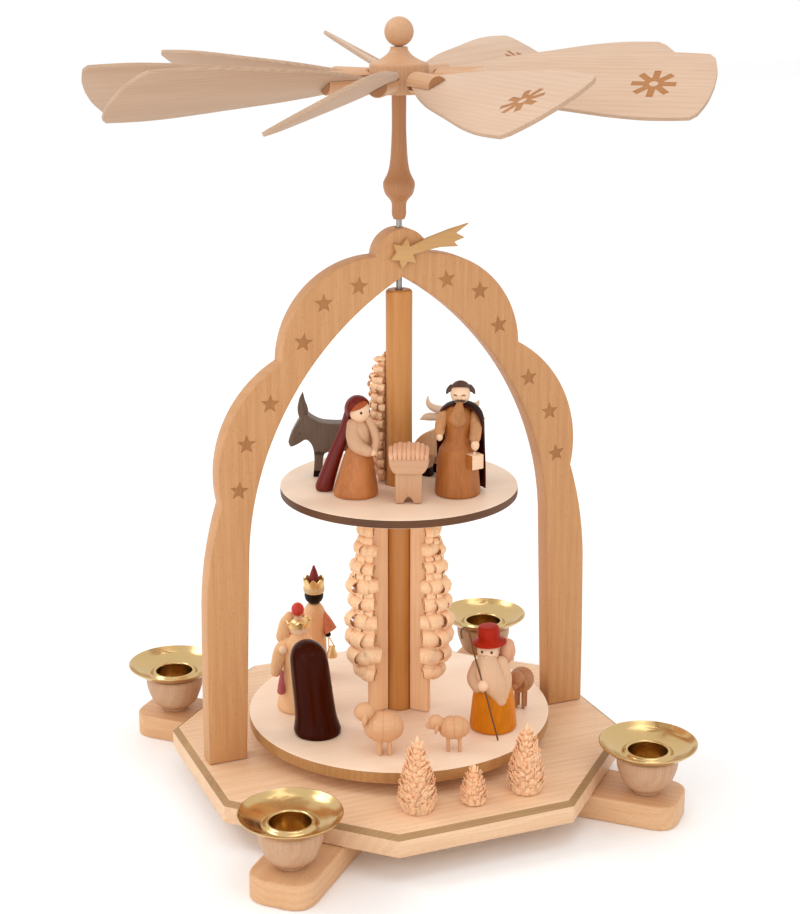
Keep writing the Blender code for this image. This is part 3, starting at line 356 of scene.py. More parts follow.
BEARD_WOOD = wood("beard_wood", (220, 178, 142), (204, 158, 122), figure=0.4, ring=1.6)
PALE_WOOD = wood("pale_wood", (208, 164, 128), (190, 142, 106), figure=0.5, ring=1.6)
ROSY_WOOD = wood("rosy_wood", (214, 160, 126), (196, 136, 104), figure=0.5, ring=1.6)
STRAW = wood("straw", (234, 186, 150), (206, 150, 112), figure=0.5, ring=0.8)
SHEEP_BROWN = wood("sheep_brown", (184, 126, 80), (150, 90, 48), figure=0.5, ring=1.4)
TAN = stained("tan", (178, 118, 68))
BROWN = stained("brown", (174, 104, 48))
RUSSET = stained("russet", (192, 118, 64))
OCHRE = stained("ochre", (216, 124, 6), shine=0.2)
GREY_BROWN = stained("grey_brown", (112, 90, 74))
HAIR_DARK = stained("hair_dark", (84, 56, 44))
HAIR_RED = stained("hair_red", (176, 84, 42), shine=0.3)
WINE = stained("wine", (112, 32, 24), roughness=0.32, coat=0.12, shine=0.25)
LINING = stained("lining", (78, 24, 15), shine=0.08)
STAFF_BROWN = stained("staff_brown", (112, 78, 46), shine=0.2)
SLEEVE_TAN = stained("sleeve_tan", (202, 144, 96), shine=0.3)
UMBER_GLOSS = stained("umber_gloss", (38, 18, 8), roughness=0.4, shine=0.07)
CLOAK_GLOSS = stained("cloak_gloss", (62, 22, 6), roughness=0.22, shine=0.07)
BLACK_GLOSS = stained("black_gloss", (32, 18, 10), roughness=0.35, coat=0.03, shine=0.15)
RED_BROWN = stained("red_brown", (132, 44, 34), shine=0.3)
CREAM = stained("cream", (232, 200, 150))
HOOF_BLACK = stained("hoof_black", (42, 17, 8), shine=0.08)
DARK_DOT = stained("dark_dot", (60, 42, 30))
BROW_DOT = stained("brow_dot", (150, 106, 76))
HAT_RED = stained("hat_red", (170, 38, 12), roughness=0.45, shine=0.15)
RED_PAINT = stained("red_paint", (204, 62, 48), roughness=0.4, shine=0.3)
CORAL_STAIN = stained("coral_stain", (216, 124, 84))
ROSE_STAIN = stained("rose_stain", (190, 96, 96))
GOLD = spun_metal("gold", (238, 208, 150), 0.34, groove=0.6)
BRASS = spun_metal("brass", (208, 176, 122), 0.18)
STEEL = spun_metal("steel", (150, 146, 140), 0.28, groove=0.4)
BUSH_BRASS = spun_metal("bush_brass", (214, 184, 132), 0.22, groove=0.5, bare=True)
BEARING_STEEL = spun_metal("bearing_steel", (150, 146, 140), 0.25, groove=0.4, bare=True)
for kept_node, kept_look in (("axle_bush", BUSH_BRASS), ("pivot_bearing", BEARING_STEEL)):
    for kept_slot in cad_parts[kept_node].material_slots:
        kept_slot.material = kept_look


# Shapes

def eased(points, radius, steps=4, closed=False):
    """The outline with its corners turned on a small radius."""
    out = []
    count = len(points)
    for i, point in enumerate(points):
        here = Vector(point)
        if not closed and i in (0, count - 1):
            out.append(tuple(here))
            continue
        before, after = Vector(points[i - 1]), Vector(points[(i + 1) % count])
        back, ahead = before - here, after - here
        reach = min(radius, back.length * 0.45, ahead.length * 0.45)
        start = here + back.normalized() * reach
        end = here + ahead.normalized() * reach
        for step in range(steps + 1):
            t = step / steps
            out.append(tuple(start * (1 - t) ** 2 + here * 2 * t * (1 - t) + end * t ** 2))
    return out


def through(points, steps=6):
    """A smooth line through the points."""
    points = [Vector(point) for point in points]
    ends = [points[0] * 2 - points[1]] + points + [points[-1] * 2 - points[-2]]
    out = []
    for a, b, c, d in zip(ends, ends[1:], ends[2:], ends[3:]):
        for step in range(steps):
            t = step / steps
            out.append(0.5 * (2 * b + (c - a) * t + (2 * a - 5 * b + 4 * c - d) * t * t
                              + (3 * b - a - 3 * c + d) * t ** 3))
    return [tuple(point) for point in out + [points[-1]]]


def arc(start, end, bulge, steps):
    """Points on an arc from start up to, not including, end. It bulges to the chord's right."""
    start, end = Vector(start), Vector(end)
    chord = end - start
    half = chord.length / 2
    radius = (half * half + bulge * bulge) / (2 * bulge)
    right = Vector((chord.y, -chord.x)).normalized()
    centre = (start + end) / 2 + right * (bulge - radius)
    sweep = 2 * math.asin(half / radius)
    first = start - centre
    return [tuple(centre + Matrix.Rotation(sweep * i / steps, 2) @ first) for i in range(steps)]


def star(points, radius, dent, turn=0.0):
    """A star's outline, one tip up."""
    out = []
    for step in range(2 * points):
        angle = math.radians(90 + turn) + math.pi * step / points
        reach = radius * (dent if step % 2 else 1)
        out.append((reach * math.cos(angle), reach * math.sin(angle)))
    return out


def verts_in(parts):
    return [part for part in parts if isinstance(part, bmesh.types.BMVert)]


def edges_in(parts):
    return [part for part in parts if isinstance(part, bmesh.types.BMEdge)]


def spun(profile, steps=72):
    """A turned form about Z from (radius, height) points."""
    bm = bmesh.new()
    verts = [bm.verts.new((radius, 0, height)) for radius, height in profile]
    edges = [bm.edges.new(pair) for pair in zip(verts, verts[1:])]
    bmesh.ops.spin(bm, geom=verts + edges, axis=(0, 0, 1), cent=(0, 0, 0), angle=2 * math.pi,
                   steps=steps, use_merge=True)
    bmesh.ops.remove_doubles(bm, verts=bm.verts, dist=0.0005)
    bmesh.ops.recalc_face_normals(bm, faces=bm.faces)
    return bm


def washer(bore, radius, low, top, ease, steps, sides=72):
    """A disc or tube with a bore and eased corners."""
    corners = ((bore, top), (radius, top), (radius, low), (bore, low))
    profile = [(max(r, bore), z) for r, z in eased(corners, ease, steps, closed=True)]
    return spun(profile + profile[:1], sides)


def pulled(bm, faces, step):
    """Draws faces out by a step and gives their new corners."""
    far = verts_in(bmesh.ops.extrude_face_region(bm, geom=faces)["geom"])
    bmesh.ops.translate(bm, vec=step, verts=far)
    return far


def softened(bm, edges, width, steps):
    bmesh.ops.bevel(bm, geom=edges, offset=width, segments=steps, profile=0.5, affect="EDGES",
                    material=-1, clamp_overlap=True)


def slab(outline, thickness, edge=0.3, steps=2):
    """A board cut to an outline in X and Z, half its thickness to each side of Y = 0, with eased edges."""
    bm = bmesh.new()
    face = bm.faces.new([bm.verts.new((x, -thickness / 2, z)) for x, z in outline])
    pulled(bm, [face], (0, thickness, 0))
    bmesh.ops.recalc_face_normals(bm, faces=bm.faces)
    if edge:
        softened(bm, [e for e in bm.edges if abs(abs(e.verts[0].co.y) - thickness / 2) < 0.001
                      and e.is_manifold and e.calc_face_angle() > math.radians(60)], edge, steps)
    return bm


def moved(bm, *matrices):
    """The form after one or more moves, the last given first."""
    for matrix in reversed(matrices):
        bm.transform(matrix)
    return bm


def at(x, y, z):
    return Matrix.Translation((x, y, z))


def turn(degrees, axis="Z"):
    return Matrix.Rotation(math.radians(degrees), 4, axis)


def sized(x, y, z):
    return Matrix.Diagonal((x, y, z, 1))


def box(place, x, y, z):
    bm = bmesh.new()
    bmesh.ops.create_cube(bm, size=1, matrix=place @ sized(x, y, z))
    return bm


ALONG_X = turn(90, "Y")
ALONG_Y = turn(90, "X")


def with_look(bm, index, wanted=None):
    """Gives the form's faces, or those that are wanted, another of the piece's materials."""
    for face in bm.faces:
        if wanted is None or wanted(face):
            face.material_index = index
    return bm


# The most materials that a carved piece has
MOST_LOOKS = 4


def mesh_of(bm, name="form"):
    """The form's mesh. The form itself is freed."""
    mesh = bpy.data.meshes.new(name)
    bm.to_mesh(mesh)
    bm.free()
    return mesh


def in_scene(name, data):
    obj = bpy.data.objects.new(name, data)
    bpy.context.scene.collection.objects.link(obj)
    return obj


def joined(*forms):
    """Several forms in one mesh, each with its own faces."""
    whole = forms[0]
    for form in forms[1:]:
        mesh = mesh_of(form)
        whole.from_mesh(mesh)
        bpy.data.meshes.remove(mesh)
    return whole


def carved(bm, *cutters):
    """The form with others cut from it. Cut faces keep the cutter's material index."""
    helpers = []
    for form in (bm, *cutters):
        mesh = mesh_of(form)
        for _ in range(MOST_LOOKS):
            mesh.materials.append(None)
        helpers.append(in_scene("helper", mesh))
    for helper in helpers[1:]:
        boolean = helpers[0].modifiers.new("cut", "BOOLEAN")
        boolean.operation = "DIFFERENCE"
        boolean.solver = "EXACT"
        boolean.material_mode = "INDEX"
        boolean.object = helper
    evaluated = helpers[0].evaluated_get(bpy.context.evaluated_depsgraph_get())
    result = bmesh.new()
    result.from_mesh(evaluated.to_mesh())
    evaluated.to_mesh_clear()
    for helper in helpers:
        mesh = helper.data
        bpy.data.objects.remove(helper)
        bpy.data.meshes.remove(mesh)
    return result


grain_dice = random.Random(3)


def piece(name, bm, looks, body, stands_for=(), place=None, grain=None, sharp=32):
    """Finishes a form: its grain coordinates, its place, its materials and the body it rides on."""
    mesh = mesh_of(bm, name)
    offset = Vector([grain_dice.uniform(-400, 400) for _ in range(3)])
    offset.xy = offset.xy.normalized() * 45
    lay = Matrix.Translation(offset) @ (grain or Matrix())
    attribute = mesh.attributes.new("grain", "FLOAT_VECTOR", "POINT")
    flat = [value for vertex in mesh.vertices for value in lay @ vertex.co]
    attribute.data.foreach_set("vector", flat)
    mesh.transform(Matrix.Scale(MILLIMETRE, 4) @ (place or Matrix()))
    for look in looks if isinstance(looks, (list, tuple)) else [looks]:
        mesh.materials.append(look)
    mesh.shade_smooth()
    mesh.set_sharp_from_angle(angle=math.radians(sharp))
    obj = in_scene(name, mesh)
    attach(obj, body)
    if stands_for:
        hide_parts(*([stands_for] if isinstance(stands_for, str) else stands_for))


# Foot and plate

def foot_bars():
    """Two bars with rounded ends, half-lapped where they cross."""
    half_width = FOOT_WIDTH / 2
    corners = ((FOOT_REACH, half_width), (-FOOT_REACH, half_width), (-FOOT_REACH, -half_width),
               (FOOT_REACH, -half_width))
    outline = eased(corners, FOOT_CORNER * 1.25, 12, closed=True)
    for name, extra, side in (("foot_bar_long", 0, 1), ("foot_bar_cross", 90, -1)):
        bar = moved(slab(outline, FOOT_THICKNESS, edge=1.1, steps=3), ALONG_Y)
        notch = box(at(0, 0, side * FOOT_THICKNESS / 2), FOOT_WIDTH + GAP, FOOT_WIDTH * 2, FOOT_THICKNESS)
        place = at(0, 0, FOOT_THICKNESS / 2) @ turn(FOOT_TURN + extra)
        piece(name + "_board", carved(bar, notch), BEECH, "stand", name, place, ALONG_X)


def base_plate():
    """Eight-sided board with a broad chamfer round its upper edge."""
    bm = bmesh.new()
    bmesh.ops.create_circle(bm, cap_ends=True, segments=8, radius=PLATE_RADIUS,
                            matrix=at(0, 0, FOOT_THICKNESS + GAP) @ turn(22.5))
    across, down = PLATE_CHAMFER
    top = pulled(bm, bm.faces[:], (0, 0, PLATE_THICKNESS - down))
    deck = pulled(bm, [f for f in bm.faces if all(v in top for v in f.verts)], (0, 0, down))
    shrink = (PLATE_RADIUS - across) / PLATE_RADIUS
    bmesh.ops.scale(bm, vec=(shrink, shrink, 1), verts=deck)
    bmesh.ops.recalc_face_normals(bm, faces=bm.faces)
    with_look(bm, 1, lambda face: 0.2 < face.normal.z < 0.95)
    softened(bm, bm.edges[:], 0.5, 2)
    piece("base_board", bm, [PLATE_BEECH, CHAMFER_BEECH], "stand", "base_plate", grain=ALONG_X)


# Candle cups and trays

CUP_SIDE_SHARES = ((0.97, 1.0), (1.0, 0.93), (0.97, 0.68), (0.865, 0.43), (0.76, 0.25), (0.57, 0.12),
                   (0.445, 0.06))


def cups_and_trays():
    bore = SOCKET_RADIUS + TRAY_WALL + GAP
    floor = CUP_HEIGHT - SOCKET_DEPTH - 1.0
    side = through([(CUP_RADIUS * r, CUP_HEIGHT * z) for r, z in CUP_SIDE_SHARES[1:]], 5)
    rim = eased([(bore, floor), (bore, CUP_HEIGHT), (CUP_RADIUS * 0.97, CUP_HEIGHT), side[0]], 0.8)
    cup = [(0, floor)] + rim + side[1:] + [(CUP_FOOT_RADIUS, 0), (0, 0)]

    seat = CUP_HEIGHT + GAP
    lip_top = seat + TRAY_WALL + TRAY_LIP_HEIGHT
    rim_top = seat + TRAY_WALL + TRAY_RISE
    socket_floor = lip_top - SOCKET_DEPTH
    inner = [(0, socket_floor), (SOCKET_RADIUS, socket_floor), (SOCKET_RADIUS, lip_top - TRAY_WALL),
             (SOCKET_RADIUS + 0.9, lip_top), (TRAY_LIP_RADIUS, lip_top - 0.5),
             (TRAY_LIP_RADIUS + 1.0, seat + TRAY_WALL + 0.2)]
    dish = through([(TRAY_LIP_RADIUS + 1.6, seat + TRAY_WALL), (15.5, seat + TRAY_WALL + 1.1),
                    (19.5, seat + TRAY_WALL + 3.0), (TRAY_RADIUS - 0.4, rim_top)], 6)
    under = [(r + 0.2, z - TRAY_WALL) for r, z in reversed(dish[:-1])]
    tray = eased(inner, 0.6) + dish + [(TRAY_RADIUS, rim_top - 0.1), (TRAY_RADIUS, rim_top - 0.5)] + under
    tray += [(SOCKET_RADIUS + TRAY_WALL, seat), (SOCKET_RADIUS + TRAY_WALL, socket_floor - TRAY_WALL),
             (0, socket_floor - TRAY_WALL)]
    for number in range(4):
        angle = math.radians(FOOT_TURN + 90 * number)
        place = at(CUP_CIRCLE * math.cos(angle), CUP_CIRCLE * math.sin(angle), FOOT_THICKNESS + GAP)
        lean = turn(37 * number)
        piece(f"cup_{number + 1}", spun(cup), CUP_BEECH, "stand", f"candle_cup_{number + 1}", place @ lean)
        piece(f"tray_{number + 1}", spun(tray, 96), BRASS, "stand", f"drip_tray_{number + 1}", place @ lean,
              sharp=40)


# Arch and comet star

ARCH_OUTER_SHARES = ((1.0, 0.0), (0.990, 0.290), (0.9025, 0.510), (0.602, 0.768), (0.132, 0.9516))
ARCH_BULGE_SHARES = (0.002, 0.022, 0.118, 0.132)
ARCH_INNER_SHARES = ((0.812, 0.0), (0.776, 0.395))
ARCH_INNER_BULGE_SHARE = 0.202


def arch_outline():
    outer = [(ARCH_HALF_WIDTH * x, ARCH_HEIGHT * z) for x, z in ARCH_OUTER_SHARES]
    half = []
    for i, share in enumerate(ARCH_BULGE_SHARES):
        half += arc(outer[i], outer[i + 1], ARCH_HALF_WIDTH * share, (4, 8, 28, 28)[i])
    crown = arc(outer[-1], (-outer[-1][0], outer[-1][1]), ARCH_HEIGHT - outer[-1][1], 20)
    mirrored = [(-x, z) for x, z in reversed(half)]
    inner = [(ARCH_HALF_WIDTH * x, ARCH_HEIGHT * z) for x, z in ARCH_INNER_SHARES]
    apex = (0, ARCH_HEIGHT - ARCH_CROWN)
    inside = through([inner[0], inner[1]], 6)[:-1]
    inside += arc(inner[1], apex, ARCH_HALF_WIDTH * ARCH_INNER_BULGE_SHARE, 40)
    outline = half + crown + [(-outer[-1][0], outer[-1][1])] + mirrored
    return outline + [(-x, z) for x, z in inside] + [apex] + list(reversed(inside))


def arch():
    """The scalloped board, with a row of small stars burnt into the front of each side."""
    board = slab(arch_outline(), ARCH_THICKNESS, edge=0.55, steps=3)
    stars = []
    front = -ARCH_THICKNESS / 2
    for x, z, lean in STAR_PLACES:
        for side in (-1, 1):
            cutter = slab(eased(star(5, STAR_RADIUS, 0.43, side * lean), 0.3, 2, closed=True),
                          2 * STAR_DEPTH, edge=0)
            stars.append(with_look(moved(cutter, at(side * x, front, z)), 1))
    high, low = ARCH_HEIGHT + 2, ARCH_HEIGHT - ARCH_CROWN - 4
    bore = spun([(0, high), (SPINDLE_RADIUS + 0.6, high), (SPINDLE_RADIUS + 0.6, low), (0, low)], 24)
    board = carved(board, *stars, bore)
    piece("arch_board", board, [ARCH_BEECH, BURNT], "stand", "arch", at(0, 0, PLATE_TOP + GAP))


COMET_TAIL_SHARES = ((0.36, 0.20), (0.66, 0.29), (0.945, 0.355), (0.76, 0.235), (0.885, 0.165),
                     (0.73, 0.115), (0.79, 0.05), (0.52, 0.055), (0.30, 0.02))


def comet():
    outline = [(COMET_TAIL * x, COMET_TAIL * z) for x, z in reversed(COMET_TAIL_SHARES)]
    for step in range(1, 12):
        angle = math.radians(20 + 30 * step)
        radius = COMET_RADIUS * (0.56 if step % 2 else 1)
        outline.append((radius * math.cos(angle), radius * math.sin(angle)))
    place = at(0, -ARCH_THICKNESS / 2 - GAP - COMET_THICKNESS / 2, COMET_Z)
    piece("comet", slab(outline, COMET_THICKNESS, edge=0.18), PEAR, "stand", "comet_star", place, ALONG_X)


# Axle, shaft and decks

def axle():
    rod = spun([(0, SPINDLE_TOP), (SPINDLE_RADIUS, SPINDLE_TOP),
                (SPINDLE_RADIUS, SPINDLE_FOOT + SPINDLE_POINT), (0, SPINDLE_FOOT)], 32)
    piece("axle_rod", rod, STEEL, "carousel", "spindle")
    tube = washer(SPINDLE_RADIUS + GAP, SHAFT_RADIUS, SHAFT_LOW, SHAFT_TOP, 1.7, 6)
    piece("round_shaft", tube, OILED, "carousel", "shaft")


def decks():
    bore = SHAFT_RADIUS + GAP
    for name, radius, top, thickness, rim in (
        ("lower_disc", LOWER_DISC_RADIUS, LOWER_DECK, LOWER_DISC_THICKNESS, RIM_BEECH),
        ("upper_disc", UPPER_DISC_RADIUS, UPPER_DECK, UPPER_DISC_THICKNESS, DARK_RIM),
    ):
        disc = washer(bore, radius, top - thickness, top, 0.45, 3, 144)
        with_look(disc, 1, lambda face: abs(face.normal.z) < 0.5
                  and face.calc_center_median().xy.length > bore + 2)
        piece(name + "_board", disc, [MAPLE, rim], "carousel", name, grain=ALONG_X)


# Paddle wheel

def hub():
    """The block that the paddles' dowels stand in, with a shoulder and a neck."""
    top = HUB_BOTTOM + HUB_THICKNESS
    neck = top + HUB_NECK_HEIGHT
    bore = STEM_RADIUS + GAP
    shoulder = through([(HUB_RADIUS - 0.4, top + 0.2), (HUB_RADIUS * 0.72, top + 1.3),
                        (HUB_NECK_RADIUS + 2.2, top + 3.4), (HUB_NECK_RADIUS + 0.4, neck - 1.6),
                        (HUB_NECK_RADIUS, neck)], 5)
    side = eased([shoulder[0], (HUB_RADIUS, top - 0.6), (HUB_RADIUS, HUB_BOTTOM), (bore, HUB_BOTTOM)], 0.7)
    profile = [(0, neck)] + shoulder[::-1] + side[1:] + [(bore, HUB_BORE_TOP), (0, HUB_BORE_TOP)]
    outside, inside = HUB_RADIUS + 4, HUB_RADIUS - HUB_HOLE_DEPTH
    holes = []
    for heading, droop in zip(BLADE_HEADINGS, BLADE_DROOPS):
        hole = spun([(0, outside), (HUB_HOLE_RADIUS, outside), (HUB_HOLE_RADIUS, inside), (0, inside)], 20)
        holes.append(with_look(moved(hole, at(0, 0, WHEEL_Z), turn(heading), turn(90 + droop, "Y")), 1))
    piece("wheel_hub", carved(spun(profile, 96), *holes), [PEG_WOOD, PEG_END_GRAIN], "carousel", "hub")


def stem():
    """The turned post between the spindle's top and the hub."""
    high = HUB_BORE_TOP - GAP
    side = STEM_BULGE_RADIUS - STEM_RADIUS
    line = through([(STEM_RADIUS, HUB_BOTTOM), (STEM_RADIUS, (high + STEM_BULGE_Z) / 2),
                    (STEM_RADIUS + side * 0.28, STEM_BULGE_Z + 2.2 * side),
                    (STEM_BULGE_RADIUS, STEM_BULGE_Z + side / 3)], 8)
    below = through([(STEM_BULGE_RADIUS, STEM_BULGE_Z - side / 6),
                     (STEM_BULGE_RADIUS - side / 4, STEM_BULGE_Z - side),
                     (STEM_RADIUS + 0.2, (STEM_LOW + STEM_BULGE_Z) / 2), (STEM_RADIUS, STEM_LOW + 2.4),
                     (STEM_RADIUS * 0.78, STEM_LOW)], 6)
    wall = SPINDLE_RADIUS + GAP
    spindle_end = SPINDLE_TOP + GAP
    profile = [(0, high), (STEM_RADIUS, high)] + line + below
    profile += [(wall, STEM_LOW), (wall, spindle_end), (0, spindle_end)]
    piece("turned_stem", spun(profile), STEM_WOOD, "carousel", "stem")


def finial():
    """The ball on the hub's neck."""
    seat = HUB_BOTTOM + HUB_THICKNESS + HUB_NECK_HEIGHT + GAP
    centre = seat + math.sqrt(BALL_RADIUS ** 2 - BALL_PIN_RADIUS ** 2)
    last = math.pi - math.asin(BALL_PIN_RADIUS / BALL_RADIUS)
    profile = [(BALL_RADIUS * math.sin(last * i / 28), centre + BALL_RADIUS * math.cos(last * i / 28))
               for i in range(29)]
    piece("ball_finial", spun(profile + [(0, seat)], 64), PEG_WOOD, "carousel", "finial_ball")


BLADE_SIDE_SHARES = ((0.0, 0.13), (0.135, 0.38), (0.233, 0.525), (0.323, 0.63), (0.503, 0.79),
                     (0.666, 0.937), (0.789, 1.0), (0.887, 0.99), (0.950, 0.965))
BLADE_TIP_SHARES = ((0.968, 0.93), (0.993, 0.45), (1.0, 0.0))
ROSETTE_RAYS = 8


def blade_outline():
    """Root to tip along one side, the shallow tip curve, and the mirrored side back."""
    side, tip = (through([(BLADE_ROOT + (BLADE_TIP - BLADE_ROOT) * along, BLADE_HALF_WIDTH * out)
                          for along, out in shares], steps)
                 for shares, steps in ((BLADE_SIDE_SHARES, 4), (BLADE_TIP_SHARES, 5)))
    edge = side + tip[1:]
    return [(x, -y) for x, y in edge] + edge[-2::-1]


def rosette():
    """Cutters for a burnt rosette: a ring, a dot left in its middle, and square-ended rays."""
    inner, outer = ROSETTE_RADIUS * 0.20, ROSETTE_RADIUS * 0.46
    start = outer * 0.9
    length = ROSETTE_RADIUS - start
    cutters = [spun([(inner, ROSETTE_DEPTH), (outer, ROSETTE_DEPTH), (outer, -ROSETTE_DEPTH),
                     (inner, -ROSETTE_DEPTH), (inner, ROSETTE_DEPTH)], 40)]
    for ray in range(ROSETTE_RAYS):
        cutters.append(box(turn(360 * ray / ROSETTE_RAYS) @ at(start + length / 2, 0, 0), length,
                           ROSETTE_RADIUS * 0.31, 2 * ROSETTE_DEPTH))
    return [with_look(cutter, 1) for cutter in cutters]


def paddles():
    """Nine thin paddles in their slotted dowels."""
    low, high = BLADE_ROOT - GAP, PEG_END + 4
    end = eased([(PEG_RADIUS - 0.4, PEG_END), (PEG_RADIUS, PEG_END - 0.4), (PEG_RADIUS, PEG_START + 0.8),
                 (PEG_RADIUS - 0.8, PEG_START)], 0.3)
    profile = [(0, PEG_END)] + end + [(PEG_PIN_RADIUS, PEG_START), (PEG_PIN_RADIUS, PEG_PIN_START),
                                      (0, PEG_PIN_START)]
    for number, (heading, pitch, droop) in enumerate(zip(BLADE_HEADINGS, BLADE_PITCHES, BLADE_DROOPS), 1):
        body = f"paddle_{number}"
        place = at(0, 0, WHEEL_Z) @ turn(heading) @ turn(droop, "Y") @ turn(pitch, "X")
        blade = moved(slab(blade_outline(), BLADE_THICKNESS, edge=0.25), ALONG_Y)
        burns = [moved(cutter, at(ROSETTE_ALONG, 0, BLADE_THICKNESS / 2)) for cutter in rosette()]
        blade = carved(blade, *burns)
        with_look(blade, 2, lambda face: abs(face.normal.z) < 0.5 and face.material_index == 0
                  and face.calc_center_median().x < BLADE_TIP)
        # The undersides take the darker lime as painted shade
        with_look(blade, 3, lambda face: face.normal.z < -0.5)
        piece(f"paddle_blade_{number}", blade, [LIME, BURNT, LIME_EDGE, LIME_SHADED], body, f"blade_{number}",
              place, ALONG_X)
        slot = box(at(0, 0, (low + high) / 2), BLADE_THICKNESS + GAP, PEG_RADIUS * 3, high - low)
        dowel = carved(spun(profile, 48), slot)
        with_look(dowel, 1, lambda face: abs(face.normal.z) > 0.8)
        piece(f"paddle_dowel_{number}", dowel, [PEG_WOOD, PEG_END_GRAIN], body, f"blade_peg_{number}",
              place @ ALONG_X)


# Shaved trees

def shaving(line, widths, crown, thickness=0.28):
    """A thin strip along a line in X and Z, crowned across its width towards the line's left."""
    spread = (-0.5, -0.28, 0.0, 0.28, 0.5)
    line = [Vector(point) for point in line]
    bm = bmesh.new()
    verts = [bm.verts.new((0, share, 0)) for share in spread]
    edges = [bm.edges.new(pair) for pair in zip(verts, verts[1:])]
    for i, point in enumerate(line):
        if i:
            made = bmesh.ops.extrude_edge_only(bm, edges=edges)["geom"]
            edges = edges_in(made)
            verts = sorted(verts_in(made), key=lambda vert: vert.co.y)
        ahead = (line[min(i + 1, len(line) - 1)] - line[max(i - 1, 0)]).normalized()
        left = Vector((-ahead.y, ahead.x))
        width = widths(i / (len(line) - 1))
        for vert, share in zip(verts, spread):
            bulge = left * (crown * width * (1 - (2 * share) ** 2))
            vert.co = (point.x + bulge.x, share * width, point.y + bulge.y)
    bmesh.ops.recalc_face_normals(bm, faces=bm.faces)
    bmesh.ops.solidify(bm, geom=bm.faces[:], thickness=thickness)
    return bm


def curl(reach, radius, width, turns=1.3, steps=13):
    """A shaving that rises from its root at the origin and rolls up at its end, towards +X."""
    centre_x, centre_z = reach - radius, radius * 0.55
    first = 205.0
    start = (centre_x + radius * math.cos(math.radians(first)),
             centre_z + radius * math.sin(math.radians(first)))
    line = [(0.0, -0.3 * start[0]), (start[0] * 0.55, start[1] - 0.12 * start[0])] if start[0] > 1.0 else []
    for step in range(steps + 1):
        share = step / steps
        angle = math.radians(first - 360 * turns * share)
        ring = radius * (1 - 0.34 * share ** 1.5)
        line.append((centre_x + ring * math.cos(angle), centre_z + ring * math.sin(angle)))
    return shaving(line, lambda share: width * (0.72 + 0.28 * math.sin(math.pi * min(1, 0.15 + share))),
                   0.13)


curl_dice = random.Random(11)


def curl_fan(reach, radius, width, angles, x, z, splay=1.8):
    """One row of curls, fanned out from a batten's edge. The middle ones reach furthest."""
    forms = []
    for angle in angles:
        side = math.sin(math.radians(angle))
        length = reach * (1 - 0.36 * abs(side)) * curl_dice.uniform(0.95, 1.05)
        size = radius * curl_dice.uniform(0.9, 1.08)
        root = at(x - 0.4 * abs(side), splay * side, z + curl_dice.uniform(-0.7, 0.7))
        lean = turn(angle + curl_dice.uniform(-5, 5)) @ turn(curl_dice.uniform(-8, 8), "X")
        forms.append(moved(curl(max(length, 2.1 * size), size, width * curl_dice.uniform(0.92, 1.08),
                                curl_dice.uniform(1.1, 1.5)), root @ lean))
    return forms


# Each row's reach as a share of the tree's, and its curls' diameter, from the bottom up
TREE_ROWS = ((0.88, 7.4), (0.99, 8.6), (1.04, 8.4), (1.03, 7.6), (1.01, 7.2), (0.98, 7.2), (0.93, 6.6),
             (0.87, 5.9), (0.80, 5.2), (0.72, 4.6))


def batten(width, thickness, height, point=0.0):
    """A planed strip, its outer top corner cut down to a point where one is wanted."""
    outline = [(0, 0), (width, 0), (width, height - point), (0, height)]
    return slab(outline, thickness, edge=0.5, steps=3)


def half_trees():
    """Two battens beside the shaft, each with rows of rolled shavings along its outer edge."""
    inner = SHAFT_RADIUS + 2 * GAP
    low = LOWER_DECK + GAP
    height = UPPER_DECK - UPPER_DISC_THICKNESS - GAP - low
    step = (height - TREE_BARE) / len(TREE_ROWS)
    for name, heading in (("lower_tree_left", LEFT_TREE_HEADING), ("lower_tree_right", RIGHT_TREE_HEADING)):
        place = at(0, 0, low) @ turn(heading)
        board = moved(batten(BATTEN_WIDTH, BATTEN_THICKNESS, height), at(inner, 0, 0))
        piece(name + "_batten", board, BATTEN, "carousel", name, place)
        edge = inner + BATTEN_WIDTH - 0.5
        curls = []
        for row, (share, size) in enumerate(TREE_ROWS):
            reach = max(TREE_REACH * share - edge, size)
            root = TREE_REACH * share - reach
            z = TREE_BARE + row * step
            angles = (-60, -30, 0, 30, 60) if row % 2 else (-48, -16, 16, 48)
            curls += curl_fan(reach, size / 2, size * 0.92, angles, root, z)
            curls += curl_fan(reach * 0.7, size * 0.36, size * 0.66, (-50, -18, 18, 50), root + 0.6,
                              z + step * 0.5)
        piece(name + "_curls", joined(*curls), SHAVED, "carousel", (), place, sharp=60)


